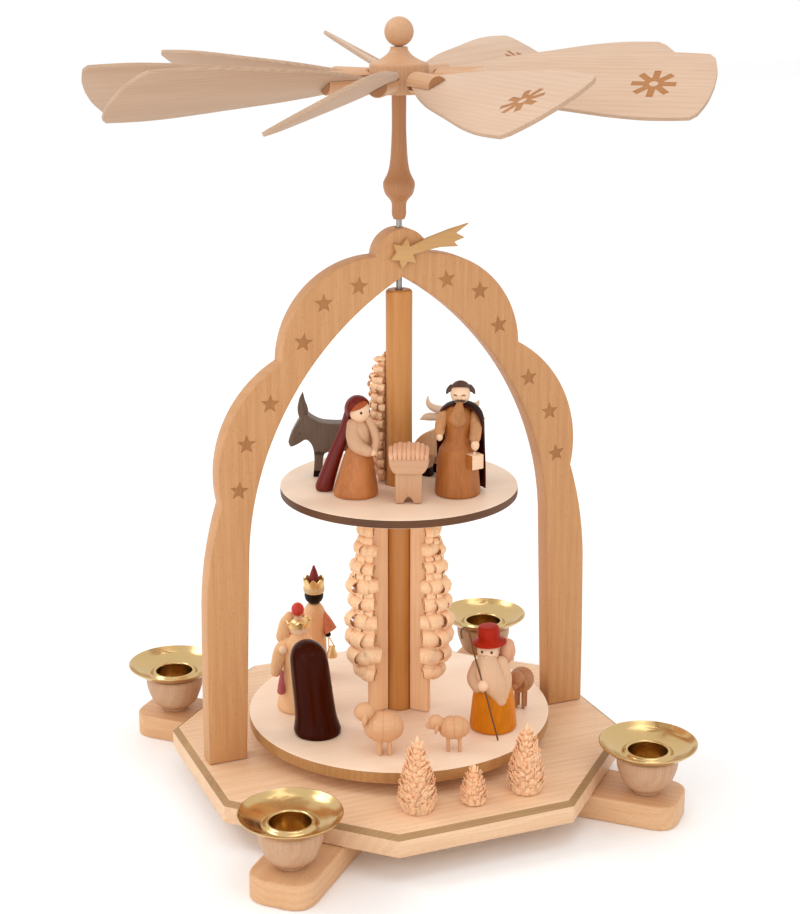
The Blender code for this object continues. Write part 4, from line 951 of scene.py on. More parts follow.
def upper_tree():
    """A slim pointed batten behind the shaft, with small curls down to its foot."""
    inner = SHAFT_RADIUS + 2 * GAP
    place = at(0, 0, UPPER_DECK + GAP) @ turn(UPPER_TREE_HEADING)
    width = BATTEN_WIDTH * 0.4
    board = moved(batten(width, BATTEN_THICKNESS, UPPER_TREE_HEIGHT, UPPER_TREE_POINT), at(inner, 0, 0))
    piece("upper_tree_batten", board, BATTEN, "carousel", "upper_tree", place)
    curls = []
    low, high = UPPER_TREE_HEIGHT * 0.07, UPPER_TREE_HEIGHT * 0.92
    for row in range(UPPER_TREE_ROWS):
        share = row / (UPPER_TREE_ROWS - 1)
        reach = (UPPER_TREE_REACH - inner - width + 0.8) * min(1.0, 0.4 + 3.0 * (1 - share))
        radius = (2.1 - 0.4 * share) * min(1.0, 0.5 + 2.5 * (1 - share))
        angles = (-72, -36, 0, 36, 72) if row % 2 else (-54, -18, 18, 54)
        z = low + (high - low) * share
        curls += curl_fan(max(reach, 2 * radius), radius, 3.6 - 0.8 * share, angles, inner + width - 0.6, z,
                          1.2)
        for along in (0.9, width - 0.4):
            side = turn(curl_dice.uniform(92, 112))
            curls.append(moved(curl(2.6 * radius, radius, 3.2, curl_dice.uniform(1.0, 1.3)),
                               at(inner + along, BATTEN_THICKNESS / 2 - 0.3, z + curl_dice.uniform(-1, 1)),
                               side))
    piece("upper_tree_curls", joined(*curls), SHAVED, "carousel", (), place, sharp=60)


def share_at(shares, at_share):
    """The value between two given shares of a height."""
    for (low, first), (high, second) in zip(shares, shares[1:]):
        if at_share <= high:
            return first + (second - first) * (at_share - low) / (high - low)
    return shares[-1][1]


PLATE_TREE_SIDE_SHARES = ((0.0, 0.95), (0.14, 1.0), (0.32, 0.92), (0.5, 0.76), (0.7, 0.54), (0.86, 0.30),
                          (1.0, 0.05))


def petal(tall, width):
    """A short shaving that stands up from its root and bends out at its tip, towards +X."""
    line = through([(0, 0), (tall * 0.16, tall * 0.36), (tall * 0.24, tall * 0.72), (tall * 0.46, tall)], 3)
    return shaving(line, lambda share: width * (1 - 0.5 * share ** 2), -0.16, 0.16)


def plate_trees():
    """Three small cones of shaved petals on the plate, the last with long ones down one side."""
    for number, (height, radius, circle, heading, tiers) in enumerate(PLATE_TREES, 1):
        angle = math.radians(heading)
        place = at(circle * math.cos(angle), circle * math.sin(angle), PLATE_TOP + GAP) @ turn(19 * number)
        long = SMALL_TREE_PETAL if number == 2 else PETAL_LENGTH
        core = [(0, height), (0.35, height * 0.985), (0.8, height * 0.93)]
        core += [(max(radius * share - 1.3, 1.0), height * along)
                 for along, share in reversed(PLATE_TREE_SIDE_SHARES[:-1])] + [(0, 0)]
        forms = [spun(core, 28)]
        step = height * 0.86 / tiers
        for tier in range(tiers):
            low = 0.1 + tier * step
            size = long * (1 - 0.3 * tier / tiers)
            wide = radius * share_at(PLATE_TREE_SIDE_SHARES, min(1.0, (low + size * 0.7) / height))
            count = max(6, round(2 * math.pi * wide / PETAL_SPACING))
            for k in range(count):
                tall = size * curl_dice.uniform(0.8, 1.25)
                root = max(wide - 0.40 * tall * curl_dice.uniform(0.8, 1.2), 0.3)
                around = turn(360 * (k + 0.5 * (tier % 2)) / count + curl_dice.uniform(-10, 10))
                breadth = PETAL_WIDTH * size / PETAL_LENGTH * curl_dice.uniform(0.8, 1.15)
                forms.append(moved(petal(tall, breadth), around,
                                   at(root, 0, low + curl_dice.uniform(0, 0.9)),
                                   turn(curl_dice.uniform(-16, 16), "X"),
                                   turn(curl_dice.uniform(-8, 10), "Z")))
        if number == 3:
            for k in range(8):
                lean = curl_dice.uniform(8, 11)
                long_petal = shaving(through([(0.2, 0), (1.3, height * 0.16), (1.7, height * 0.34),
                                              (1.1, height * 0.5), (1.9, height * 0.58)], 3),
                                     lambda share: 3.3 - 0.9 * share, 0.16, 0.4)
                forms.append(moved(long_petal, turn(-122 + 18 * k), at(radius - 2.2, 0, 5.2),
                                   turn(-lean, "Y")))
        piece(f"plate_tree_{number}_petals", joined(*forms), SHAVED, "stand", f"plate_tree_{number}", place,
              sharp=60)


# Figures. Each is modelled about its own foot in millimetres, +X to its right as the photograph shows it.

def ball(radius, centre=(0, 0, 0), stretch=(1, 1, 1), rings=20):
    bm = bmesh.new()
    bmesh.ops.create_uvsphere(bm, u_segments=2 * rings, v_segments=rings, radius=radius,
                              matrix=at(*centre) @ sized(*stretch))
    return bm


def limb(points, radii, flat=1.0, sides=22, steps=5):
    """A tapering form along a smooth line, with domed ends. Flat squashes it from front to back."""
    line = [Vector(point) for point in through(points, steps)]
    sizes = [size for size, _ in through([(radius, 0) for radius in radii], steps)]
    rings = []
    across = Vector((0, 1, 0))
    for i, (point, size) in enumerate(zip(line, sizes)):
        ahead = (line[min(i + 1, len(line) - 1)] - line[max(i - 1, 0)]).normalized()
        across = (across - ahead * across.dot(ahead)).normalized()
        rings.append((point, ahead, across, size))
    domes = [math.radians(angle) for angle in (82, 66, 48, 30, 14)]
    point, ahead, across, size = rings[0]
    start = [(point - ahead * size * math.sin(a), ahead, across, size * math.cos(a)) for a in domes]
    point, ahead, across, size = rings[-1]
    end = [(point + ahead * size * math.sin(a), ahead, across, size * math.cos(a)) for a in reversed(domes)]
    bm = bmesh.new()
    last = None
    every = start + rings + end
    for i, (point, ahead, across, size) in enumerate(every):
        side = across.cross(ahead)
        frame_here = Matrix((side, across * flat, ahead)).transposed().to_4x4()
        frame_here.translation = point
        made = bmesh.ops.create_circle(bm, cap_ends=i in (0, len(every) - 1), segments=sides, radius=size,
                                       matrix=frame_here)["verts"]
        ring = list({edge for vert in made for edge in vert.link_edges})
        if last:
            bmesh.ops.bridge_loops(bm, edges=last + ring)
        last = ring
    bmesh.ops.recalc_face_normals(bm, faces=bm.faces)
    return bm


def bell(points, steps=4, sides=56):
    """A turned form whose side runs smoothly from the top point to the bottom one, closed at both ends."""
    side = through(points, steps)
    return spun([(0, side[0][1])] + side + [(0, side[-1][1])], sides)


def leaning(bm, share):
    """The form pushed over to its right by a share of the height."""
    bm.transform(Matrix.Shear("XY", 4, (share, 0)))
    return bm


def kept(bm, point, normal):
    """The part of a form on the side that the normal points to, closed again where it was cut."""
    cut = bmesh.ops.bisect_plane(bm, geom=bm.verts[:] + bm.edges[:] + bm.faces[:], plane_co=point,
                                 plane_no=normal, clear_inner=True)["geom_cut"]
    bmesh.ops.holes_fill(bm, edges=edges_in(cut))
    bmesh.ops.recalc_face_normals(bm, faces=bm.faces)
    return bm


def four_legged(outline, thickness, edge, waist, leg, hoof):
    """A beast from a board: a thick back, a thinner board of legs at each side and dark hooves."""
    forms = [kept(slab(outline, thickness, edge=edge, steps=6), (0, 0, waist), (0, 0, 1))]
    for side in (-1, 1):
        for low, high, look in ((hoof, waist + 1.8, 0), (0.02, hoof, 1)):
            limbs = kept(kept(slab(outline, leg, edge=leg * 0.36, steps=4), (0, 0, low), (0, 0, 1)),
                         (0, 0, high), (0, 0, -1))
            forms.append(moved(with_look(limbs, look), at(0, side * (thickness - leg) / 2, 0)))
    return joined(*forms)


def standing(x, y, deck, extra=0.0):
    return at(x, y, deck + GAP) @ turn(FIGURE_TURN + extra)


def adder(figure, place):
    """A function that adds pieces to one figure at its place."""
    def add(name, bm, look, stands_for=(), slot=None, grain=None, sharp=40):
        piece(f"{figure}_{name}", bm, look, "carousel", stands_for, place, grain, sharp)
    return add


def dots(centre, radius, places, size=0.45):
    """Small round dots set on a head: each place is its turn to the side and its rise, in degrees."""
    return joined(*[moved(ball(size, stretch=(1, 0.5, 1.1), rings=8), at(*centre), turn(side),
                          turn(-rise, "X"), at(0, -radius, 0)) for side, rise in places])


def mother():
    """The kneeling woman in a long hood, arms folded."""
    add = adder("mother", standing(-25.3, -8.3, UPPER_DECK))
    skirt = bell([(4.4, 23.0), (5.6, 21.5), (6.5, 19.0), (7.6, 14.5), (8.8, 9.0), (9.9, 4.0), (10.4, 1.4),
                  (10.1, 0.0)])
    add("skirt", leaning(skirt, 0.08), RUSSET, "mother", "brown_stain")
    blouse = bell([(2.2, 36.0), (3.4, 35.0), (5.2, 32.6), (6.0, 29.0), (6.0, 25.5), (5.3, 22.5),
                   (4.6, 21.2)])
    add("blouse", moved(blouse, at(2.1, 0.2, 0)), FIGURE_WOOD)
    add("head", ball(4.9, (2.2, -0.8, 39.7), (1, 1, 1.06)), FACE_WOOD)
    add("eyes", dots((2.2, -0.8, 39.7), 4.9, ((9, 4), (70, 4)), 0.6), DARK_DOT)
    hair = kept(ball(5.25, (2.1, -0.7, 39.9), (1, 1, 1.06)), (1.2, -3.8, 41.6), (-0.36, -0.1, 0.92))
    add("hair", hair, HAIR_RED)
    hood = kept(ball(6.1, (1.2, 0.6, 40.5), (1, 1, 1.05)), (1.4, -0.9, 41.0), (-0.55, 0.55, 0.50))
    cape = limb([(0.6, 2.2, 41.0), (-1.6, 3.2, 36.0), (-4.7, 4.0, 28.5), (-8.6, 4.6, 19.5),
                 (-12.0, 5.0, 10.0), (-14.6, 5.3, 2.0)], (4.9, 4.0, 3.2, 3.2, 3.7, 4.3), 0.8)
    add("hood", hood, WINE)
    add("cape", kept(cape, (0, 0, 0.05), (0, 0, 1)), WINE)
    right = limb([(-0.6, -1.5, 33.4), (-0.6, -4.2, 28.5), (1.6, -6.6, 24.6), (6.0, -7.6, 22.4)],
                 (3.2, 3.5, 3.4, 2.5))
    left = limb([(6.3, -2.2, 36.2), (8.6, -3.8, 31.5), (9.8, -5.6, 27.0), (9.2, -7.0, 23.2)],
                (1.7, 1.9, 1.9, 1.6))
    add("right_sleeve", right, FIGURE_WOOD)
    add("left_sleeve", left, FIGURE_WOOD)
    add("hands", ball(1.9, (8.3, -7.7, 21.9), (1.1, 0.9, 0.85)), FACE_WOOD)


def father():
    """The standing man with a lantern and a cape over the shoulders."""
    add = adder("father", standing(19.7, -25.3, UPPER_DECK))
    gown = bell([(2.6, 43.2), (4.8, 41.6), (6.6, 38.0), (6.4, 33.5), (6.1, 28.0), (6.2, 25.6), (7.4, 23.4),
                 (8.7, 21.0), (9.5, 16.0), (10.1, 8.0), (10.7, 1.4), (10.4, 0.0)])
    add("gown", moved(gown, at(-0.7, 0, 0)), BROWN, "father", "brown_stain")
    beard = limb([(-0.2, -4.4, 43.8), (-0.7, -5.4, 40.4), (-1.0, -6.0, 37.2)], (1.5, 2.9, 4.2), 0.5)
    add("beard", beard, TAN)
    add("head", ball(4.6, (0.2, -0.6, 47.6), (1, 1, 1.08)), FACE_WOOD)
    brows = ((-41, 1), (-36, 3), (-30, 3), (-25, 1), (9, 1), (14, 3), (20, 3), (25, 1))
    add("eyes", dots((0.2, -0.6, 47.6), 4.6, brows, 0.36), BROW_DOT)
    add("nose", ball(0.8, (-0.4, -5.4, 46.8), (0.8, 0.9, 1.2), 10), FACE_WOOD)
    hair = kept(ball(5.1, (0.3, -0.1, 48.2), (1, 1, 1.06)), (0.3, -0.6, 50.2), (0.0, 0.35, 0.94))
    tufts = [limb([(side * 4.2 + 0.3, 0.2, 50.2), (side * 5.6 + 0.3, -0.2, 49.0),
                   (side * 6.3 + 0.3, -0.5, 47.8)], (1.5, 1.1, 0.5)) for side in (-1, 1)]
    add("hair", hair, HAIR_DARK)
    add("side_hair", joined(*tufts), HAIR_DARK)
    lip = [limb([(-0.3, -5.3, 45.6), (-0.3 + side * 1.6, -5.2, 45.2), (-0.3 + side * 3.0, -4.5, 45.0)],
                (0.45, 0.4, 0.2), sides=10) for side in (-1, 1)]
    add("moustache", joined(*lip), HAIR_DARK)
    cape = spun(through([(2.8, 44.0), (6.8, 42.4), (9.6, 39.4), (10.8, 35.5), (11.1, 30.0), (11.4, 22.0),
                         (11.9, 11.0), (12.4, 3.0), (12.6, 1.2)], 4))
    bmesh.ops.solidify(cape, geom=cape.faces[:], thickness=0.8)
    with_look(cape, 1, lambda face: face.normal.xy.dot(face.calc_center_median().xy) < 0)
    cape = kept(cape, (0, -4.2, 41.0), (0.22, 0.93, 0.24))
    add("cape", moved(cape, at(0.5, 0, 0)), [UMBER_GLOSS, LINING])
    left = limb([(-7.2, -0.6, 37.4), (-8.8, -2.6, 33.6), (-9.2, -5.0, 30.6)], (2.7, 2.6, 2.2))
    right = limb([(6.4, -0.6, 37.0), (7.3, -3.4, 32.5), (6.8, -6.6, 28.2)], (2.7, 2.8, 2.6))
    add("left_sleeve", left, SLEEVE_TAN)
    add("right_sleeve", right, SLEEVE_TAN)
    add("hands", joined(ball(1.7, (-9.3, -6.0, 28.6), (0.9, 0.9, 1.2)),
                        ball(1.9, (6.9, -7.8, 25.2), (1, 0.9, 1.45))), FACE_WOOD)
    lamp = slab([(-3.2, -3.4), (3.2, -3.4), (3.2, 3.4), (-3.2, 3.4)], 6.0, edge=0.35, steps=2)
    # The lantern's left side face takes the brown stain as painted shade
    with_look(lamp, 1, lambda face: face.normal.x < -0.7)
    roof = limb([(0, 0, 3.2), (0, 0, 4.0)], (1.0, 0.5), sides=12)
    lantern = moved(joined(lamp, roof), at(6.6, -8.0, 17.6), turn(33))
    add("lantern", lantern, [FACE_WOOD, BROWN], grain=ALONG_X)


def crib():
    """A cut trough heaped with straw on two splayed legs."""
    add = adder("crib", standing(-5.6, -28.1, UPPER_DECK) @ at(-1.2, 0, 0))
    side = [(-6.0, 0), (-2.4, 0), (-1.4, 2.2), (0, 3.4), (1.4, 2.2), (2.4, 0), (6.0, 0), (6.2, 14.6),
            (-6.2, 14.6)]
    add("legs", slab(eased(side, 0.8, 3, closed=True), 9.5, edge=0.5), PALE_WOOD)
    trough = [(-6.4, 14.0), (6.4, 14.0), (8.4, 16.6), (9.2, 20.0), (8.8, 23.2), (-8.8, 23.2), (-9.2, 20.0),
              (-8.4, 16.6)]
    add("trough", slab(eased(trough, 1.6, 4, closed=True), 12.0, edge=0.8, steps=3), PALE_WOOD, "crib",
        "straw", grain=ALONG_X)
    straws = []
    for k in range(9):
        x = -8.0 + 2.0 * k
        crown = 25.9 - 1.6 * (x / 8.0) ** 4 + curl_dice.uniform(-0.2, 0.2)
        line = [(x, 5.4, 22.4), (x, 5.2, crown - 1.2), (x + 0.2, 0.0, crown + 0.5), (x, -5.4, crown - 1.2),
                (x, -6.3, 22.0)]
        straws.append(limb(line, (1.1, 1.25, 1.3, 1.25, 1.0), sides=10, steps=4))
    add("straw_bed", joined(*straws), STRAW)


def donkey():
    """The standing donkey, its head to the left."""
    heading = math.radians(DONKEY_HEADING)
    add = adder("donkey", standing(DONKEY_CIRCLE * math.cos(heading), DONKEY_CIRCLE * math.sin(heading),
                                   UPPER_DECK))
    outline = through([(-13.8, 17.2), (-12.6, 14.8), (-9.0, 16.2), (-5.2, 18.2), (-2.2, 14.6), (-1.5, 7.5),
                       (-2.2, -3.0), (-0.3, -3.4), (1.7, -3.0), (2.6, 8.0), (4.8, 12.0), (15.2, 12.2),
                       (16.6, 7.2), (16.2, -3.0), (18.0, -3.4), (19.8, -3.0), (20.2, 8.0), (21.4, 17.0),
                       (21.0, 24.2), (18.4, 26.4), (9.5, 26.0), (2.0, 26.6), (-2.4, 28.6), (-5.8, 30.6),
                       (-9.2, 27.0), (-13.8, 18.4)], 4)
    body = four_legged(outline[:-1], thickness=8.5, edge=2.6, waist=10.6, leg=3.3, hoof=3.0)
    add("body", body, [GREY_BROWN, HOOF_BLACK], "donkey", "grey_stain", sharp=50)
    ears = [limb([(-6.0, y, 27.5), (-6.8, y * 1.3, 31.5), (-7.4, y * 1.5, 35.5), (-7.0, y * 1.5, 39.4)],
                 (1.9, 2.3, 1.6, 0.3), 0.5) for y in (-2.3, 2.3)]
    add("ears", joined(*ears), GREY_BROWN)
    tail = limb([(20.6, 0, 24.5), (22.4, 0, 19.0), (22.6, 0, 12.5)], (0.7, 0.5, 0.9), sides=12)
    add("tail", tail, HOOF_BLACK)
    eyes = [ball(0.5, (-8.2, side * 4.1, 21.4), (1, 0.6, 1), 8) for side in (-1, 1)]
    add("eyes", joined(*eyes), DARK_DOT)


def ox():
    """The standing ox, its head turned to the front."""
    add = adder("ox", standing(22.0, 6.0, UPPER_DECK, -30))
    outline = through([(-11.6, -4.0), (-4.6, -4.4), (-0.2, -4.0), (-0.8, 4.0), (0.6, 8.8), (3.6, 10.4),
                       (8.0, 10.6), (10.0, 8.0), (9.4, -4.0), (12.0, -4.4), (14.8, -4.0), (16.0, 9.0),
                       (16.8, 18.0), (14.6, 24.6), (9.0, 26.8), (2.4, 24.0), (-4.4, 20.6), (-9.2, 15.2),
                       (-9.6, 9.0), (-8.9, 4.4), (-11.2, -0.6)], 4)
    body = four_legged(outline, thickness=12.6, edge=3.4, waist=9.2, leg=4.8, hoof=4.2)
    add("body", body, [OX_WOOD, HOOF_BLACK], "ox", "maple", sharp=60)
    head = limb([(12.4, -1.0, 31.4), (11.2, -4.0, 29.5), (9.6, -7.0, 26.8)], (5.2, 5.0, 3.6))
    add("head", head, HORN_WOOD)
    horns = limb([(0.6, -10.0, 40.6), (0.8, -9.6, 37.0), (4.2, -7.6, 34.4), (10.8, -3.8, 33.8),
                  (17.0, -0.4, 34.6), (20.4, 1.8, 36.8), (21.2, 2.4, 38.6)],
                 (0.35, 1.3, 1.9, 2.2, 1.9, 1.3, 0.35))
    add("horns", horns, HORN_WOOD)
    ears = limb([(-2.6, -11.6, 29.4), (0.2, -9.6, 30.6), (4.8, -7.2, 30.6), (10.8, -3.6, 30.8),
                 (17.0, 0.4, 30.8), (21.0, 2.8, 30.6), (23.6, 4.2, 29.6)],
                (0.3, 1.9, 1.7, 1.6, 1.7, 1.9, 0.3), 0.6)
    add("ears", ears, HORN_WOOD)


def cloaked_king():
    """The kneeling figure under a plain glossy cloak."""
    add = adder("cloaked_king", standing(-47.3, -13.3, LOWER_DECK))
    cloak = bell([(0.9, 46.4), (3.6, 45.7), (6.2, 43.8), (8.0, 41.0), (8.8, 37.4), (9.1, 32.0), (9.3, 24.5),
                  (9.5, 16.0), (9.9, 8.5), (10.7, 4.2), (11.2, 1.9), (10.9, 0.0)], 5, 72)
    add("cloak", leaning(cloak, -0.10), CLOAK_GLOSS, "king_cloaked", "dark_stain")


def crown_form(low, high, radius, flare, points, wave):
    """A thin ring whose upper edge rises in points."""
    bm = bmesh.new()
    made = bmesh.ops.create_circle(bm, segments=points * 8, radius=radius, matrix=at(0, 0, low))["verts"]
    for rise in (0.35, 0.7, 1.0):
        rim = [edge for edge in bm.edges if all(vert in made for vert in edge.verts)]
        made = verts_in(bmesh.ops.extrude_edge_only(bm, edges=rim)["geom"])
        for vert in made:
            angle = math.atan2(vert.co.y, vert.co.x)
            reach = radius + flare * rise ** 1.5
            vert.co = (reach * math.cos(angle), reach * math.sin(angle), low + (high - low) * rise)
    for vert in made:
        angle = math.atan2(vert.co.y, vert.co.x)
        vert.co.z -= wave * (1 - abs(math.cos(points * angle / 2))) ** 0.8
    bmesh.ops.recalc_face_normals(bm, faces=bm.faces)
    bmesh.ops.solidify(bm, geom=bm.faces[:], thickness=0.5)
    return bm


def crowned_king():
    """The figure in a plain robe whose crown has a red cap."""
    add = adder("crowned_king", standing(-45.4, 17.6, LOWER_DECK))
    robe = bell([(2.4, 39.5), (4.8, 37.2), (7.2, 33.4), (7.8, 27.0), (7.8, 21.0), (8.8, 13.0), (10.3, 5.0),
                 (11.1, 1.3), (10.8, 0.0)])
    add("robe", robe, ROBE_WOOD, "king_crowned", "maple")
    add("head", ball(4.8, (0, 0, 41.6), (1, 1, 1.08)), FACE_WOOD)
    ring = joined(crown_form(42.2, 45.9, 5.0, 1.0, 9, 0.9), ball(4.8, (0, 0, 43.2), (1, 1, 0.7)))
    add("crown", ring, GOLD)
    add("cap", ball(3.1, (-0.3, 0, 50.6), (1, 1, 1.1)), RED_PAINT)
    bundle = limb([(-4.6, 2.0, 46.6), (-6.0, 2.0, 42.6), (-7.6, 1.5, 36.0)], (2.0, 3.4, 3.6))
    add("bundle", bundle, ROBE_WOOD)
    arm = limb([(-4.6, -0.5, 33.8), (-8.2, -1.6, 30.4), (-10.2, -3.0, 24.4), (-11.2, -4.0, 19.6)],
               (3.2, 3.6, 3.2, 2.5))
    add("sleeve", arm, ROBE_WOOD)
    add("hand", ball(2.1, (-7.4, -5.2, 31.6)), FACE_WOOD)
    gift = limb([(-8.0, -6.4, 20.8), (-8.4, -6.6, 15.5), (-8.6, -6.8, 10.8)], (0.7, 1.4, 2.0), 0.8)
    add("hanging_gift", gift, ROSE_STAIN)


def dark_king():
    """The tall figure with a black face, a pointed crown and a hanging vessel."""
    add = adder("dark_king", standing(-25.9, 49.5, LOWER_DECK))
    robe = bell([(2.6, 39.6), (3.9, 38.4), (5.5, 35.2), (5.9, 30.0), (5.9, 24.0), (6.1, 15.0), (6.6, 6.0),
                 (7.4, 1.4), (7.2, 0.0)])
    add("robe", robe, ROBE_WOOD, "king_dark", "maple")
    add("head", ball(4.85, (0, 0, 44.0)), BLACK_GLOSS)
    crown = joined(crown_form(46.6, 53.4, 5.0, 0.35, 8, 2.0), ball(4.9, (0, 0, 46.4), (1, 1, 0.6)))
    add("crown", crown, GOLD)
    add("crown_band", spun([(5.2, 46.2), (5.35, 46.4), (5.35, 48.4), (5.2, 48.6), (4.6, 48.6), (4.6, 46.2),
                            (5.2, 46.2)], 48), CREAM)
    add("cap", limb([(0, 0, 50.0), (0.1, 0, 54.4), (0.1, 0, 59.2)], (2.9, 2.2, 0.6)), RED_BROWN)
    sleeves = [kept(limb([(side * 3.4, -0.6, 35.6), (side * 6.2, -1.6, 30.6), (side * 8.6, -2.6, 25.4)],
                         (1.6, 2.6, 3.4)), (side * 8.0, -2.4, 25.4), (-side * 0.5, 0.15, 0.85))
               for side in (-1, 1)]
    add("sleeves", joined(*sleeves), CORAL_STAIN)
    add("hand", ball(1.5, (7.0, -3.6, 24.0)), BLACK_GLOSS)
    chain = [limb([(7.2, -4.6, 23.6), (8.9 + side * 1.5, -4.6, 17.6)], (0.3, 0.3), sides=8)
             for side in (-1, 1)]
    vessel = spun([(0, 17.2), (0.9, 17.2), (1.7, 16.0), (2.3, 14.0), (2.9, 12.0), (2.6, 11.2),
                   (0, 11.2)], 24)
    add("vessel", joined(moved(vessel, at(8.9, -4.6, 1.0)), *chain), GOLD)


def shepherd():
    """The bearded figure in a red hat with a lamb on the shoulder."""
    place = standing(32.5, -39.2, LOWER_DECK)
    add = adder("shepherd", place)
    add_above = adder("shepherd", place @ at(0.6, 0, -2.2))
    skirt = bell([(6.0, 25.0), (8.4, 21.5), (9.8, 16.0), (10.6, 8.0), (11.2, 1.6), (10.9, 0.0)])
    add("skirt", skirt, OCHRE, "shepherd", "ochre_stain")
    coat = bell([(3.4, 37.8), (6.2, 36.0), (8.2, 32.0), (9.2, 27.5), (9.8, 24.2), (9.0, 22.6)])
    add_above("coat", moved(coat, at(-2.2, 0, 0)), PALE_WOOD)
    front = [limb([(-4.0, -4.0, 37.0), (-3.0, -6.2, 31.0), (0.4, -7.6, 25.0), (2.6, -8.8, 19.0)],
                  (5.0, 6.2, 5.4, 2.6), 0.6),
             limb([(2.6, -3.0, 36.0), (4.4, -5.2, 28.0), (3.6, -7.8, 21.0)], (3.2, 3.4, 2.4), 0.7)]
    add_above("beard", joined(*front), BEARD_WOOD)
    add_above("head", ball(5.2, (-3.4, -0.4, 40.6), (1, 1, 1.06)), FACE_WOOD)
    add_above("eyes", dots((-3.4, -0.4, 40.6), 5.2, ((-38, 14), (15, 14)), 0.62), DARK_DOT)
    add_above("nose", ball(0.8, (-4.6, -5.9, 39.8), rings=10), FACE_WOOD)
    hat = spun(eased([(0, 54.4), (4.7, 54.4), (5.5, 51.6), (5.2, 48.2)], 1.5, 5)
               + eased([(5.8, 47.6), (8.2, 46.6), (8.2, 45.8), (0, 45.8)], 0.35), 64)
    add_above("hat", moved(hat, at(-3.0, -0.3, 45.2) @ turn(-4, "Y") @ at(0, 0, -46)), HAT_RED)
    arm = limb([(-8.2, -1.6, 33.8), (-10.2, -4.0, 28.5), (-8.8, -7.4, 25.4)], (3.2, 3.4, 2.8))
    add_above("sleeve", arm, PALE_WOOD)
    add_above("hand", ball(2.7, (-6.0, -9.4, 26.8), (1, 0.9, 1.05)), FACE_WOOD)
    lamb = limb([(4.4, 1.6, 35.5), (5.8, 1.4, 39.5), (5.8, 1.2, 43.0)], (2.9, 3.8, 3.3))
    add_above("shoulder_lamb", lamb, ROSY_WOOD)


def staff():
    """The crook, leaning on the shepherd's hand."""
    add = adder("crook", standing(27.3, -55.5, LOWER_DECK))
    line = [tuple(STAFF_HEIGHT * share for share in point) for point in STAFF_SHARES]
    rod = limb(line, (STAFF_RADIUS,) * len(line), sides=12)
    add("rod", moved(rod, at(0, 0, 0.5)), STAFF_BROWN, "shepherd_staff", "dark_stain")


def sheep(name, node_name, x, y, look, body, head, stance, extra=0.0, depth=0.45, snout=True):
    """A turned body with cut rings, a ball head and four pegs.

    body: half length, girth, height of the middle and shift. head: place along, height and radius.
    stance: how far the pegs stand apart along the body, and the middle between them.
    extra: the turn away from the picture. depth: of the rings cut in the body."""
    add = adder(name, standing(x, y, LOWER_DECK, extra))
    half, girth, middle, shift = body
    along, rise, radius = head
    side = []
    for step in range(49):
        angle = math.pi * step / 48
        groove = max(0.0, math.cos(9.5 * (angle - math.pi / 2))) ** 8 if 0.7 < angle < 2.44 else 0.0
        side.append(((girth - depth * groove) * math.sin(angle) ** 0.85, half * math.cos(angle)))
    add("body", moved(spun(side, 40), at(shift, 0, middle), ALONG_X), look, node_name, "maple", ALONG_X)
    skull = ball(radius, (along, 0, rise), (1.05, 0.95, 1))
    if snout:
        nose = ball(radius * 0.5, (along - radius * 0.75, 0, rise - radius * 0.5), (1.2, 0.9, 0.9), 12)
        skull = joined(skull, nose)
    add("head", skull, look)
    ears = [limb([(along + radius * 0.1, across * radius * 0.86, rise + radius * 0.1),
                  (along + radius * 0.05, across * radius * 1.1, rise - radius * 0.5),
                  (along - radius * 0.1, across * radius * 1.0, rise - radius * 1.1)],
                 (radius * 0.16, radius * 0.28, radius * 0.12), sides=10) for across in (-1, 1)]
    add("ears", joined(*ears), look)
    leg = girth * 0.13
    spread, centre = stance
    legs = [moved(spun([(0, middle), (leg * 1.25, middle), (leg, 0), (0, 0)], 14),
                  at(centre + ahead, across, 0))
            for ahead in (-spread / 2, spread / 2) for across in (-girth * 0.3, girth * 0.3)]
    add("legs", joined(*legs), look)


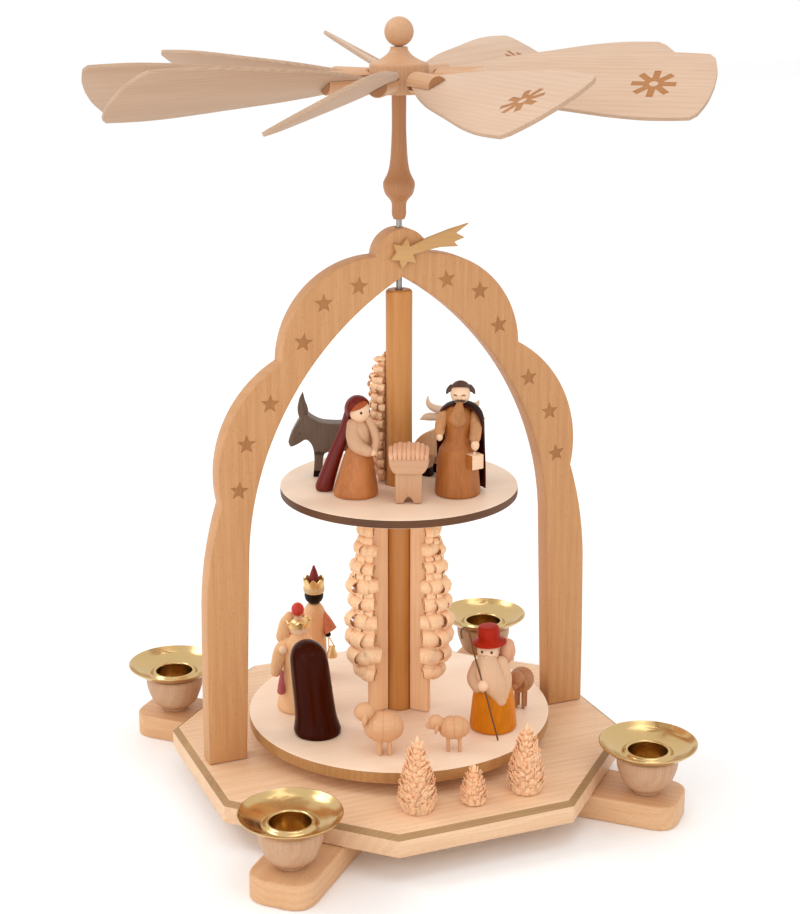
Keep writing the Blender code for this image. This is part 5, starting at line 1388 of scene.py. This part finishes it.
foot_bars()
base_plate()
cups_and_trays()
arch()
comet()
axle()
decks()
hub()
stem()
finial()
paddles()
half_trees()
upper_tree()
plate_trees()
mother()
father()
crib()
donkey()
ox()
cloaked_king()
crowned_king()
dark_king()
shepherd()
staff()
sheep("left_lamb", "lamb_left", -26.8, -46.5, LAMB_WOOD, body=(9.2, 7.4, 13.2, 0.0), head=(-9.0, 20.4, 4.5),
      stance=(4.4, 0.4), snout=False)
sheep("right_lamb", "lamb_right", 4.0, -55.9, LAMB_WOOD, body=(7.2, 5.6, 11.2, 0.4), head=(-7.9, 13.8, 3.6),
      stance=(5.4, 0.4))
sheep("brown_sheep", "sheep", 54.4, -24.7, SHEEP_BROWN, body=(7.2, 6.1, 14.2, 0.0), head=(-8.0, 17.6, 4.2),
      stance=(3.6, 0.0), extra=68, depth=0.2)


# Floor, light and camera

def studio():
    floor = bmesh.new()
    bmesh.ops.create_grid(floor, x_segments=1, y_segments=1, size=4.0)
    mesh = mesh_of(floor, "floor")
    mesh.materials.append(new_look("floor_white", (0.98, 0.98, 0.98, 1.0), 0.6)[0])
    obj = in_scene("floor", mesh)

    world = bpy.data.worlds.new("studio")
    world.use_nodes = True
    sky = world.node_tree.nodes["Background"].inputs
    sky["Color"].default_value = (1.0, 1.0, 1.0, 1.0)
    sky["Strength"].default_value = 1.0
    bpy.context.scene.world = world
    for name, place, size, power in LIGHTS:
        light = bpy.data.lights.new(name, "AREA")
        light.size = size
        light.energy = power
        lamp = in_scene(name, light)
        lamp.location = place
        lamp.rotation_euler = (LIT_POINT - lamp.location).to_track_quat("-Z", "Y").to_euler()


def camera():
    lens = bpy.data.cameras.new("camera")
    lens.sensor_width = SENSOR_WIDTH
    lens.lens = FOCAL_PIXELS / PICTURE_HEIGHT * SENSOR_WIDTH
    lens.shift_x = 1 / PICTURE_HEIGHT
    lens.clip_end = 20.0
    eye = in_scene("camera", lens)
    azimuth = math.radians(CAMERA_AZIMUTH)
    eye.location = (-math.sin(azimuth) * CAMERA_DISTANCE * MILLIMETRE,
                    -math.cos(azimuth) * CAMERA_DISTANCE * MILLIMETRE,
                    (CAMERA_HEIGHT + PLATE_TOP) * MILLIMETRE)
    eye.rotation_euler = (math.radians(90 - CAMERA_DIP), 0, -azimuth)
    bpy.context.scene.camera = eye
    bpy.context.scene.view_settings.view_transform = "Standard"


studio()
camera()
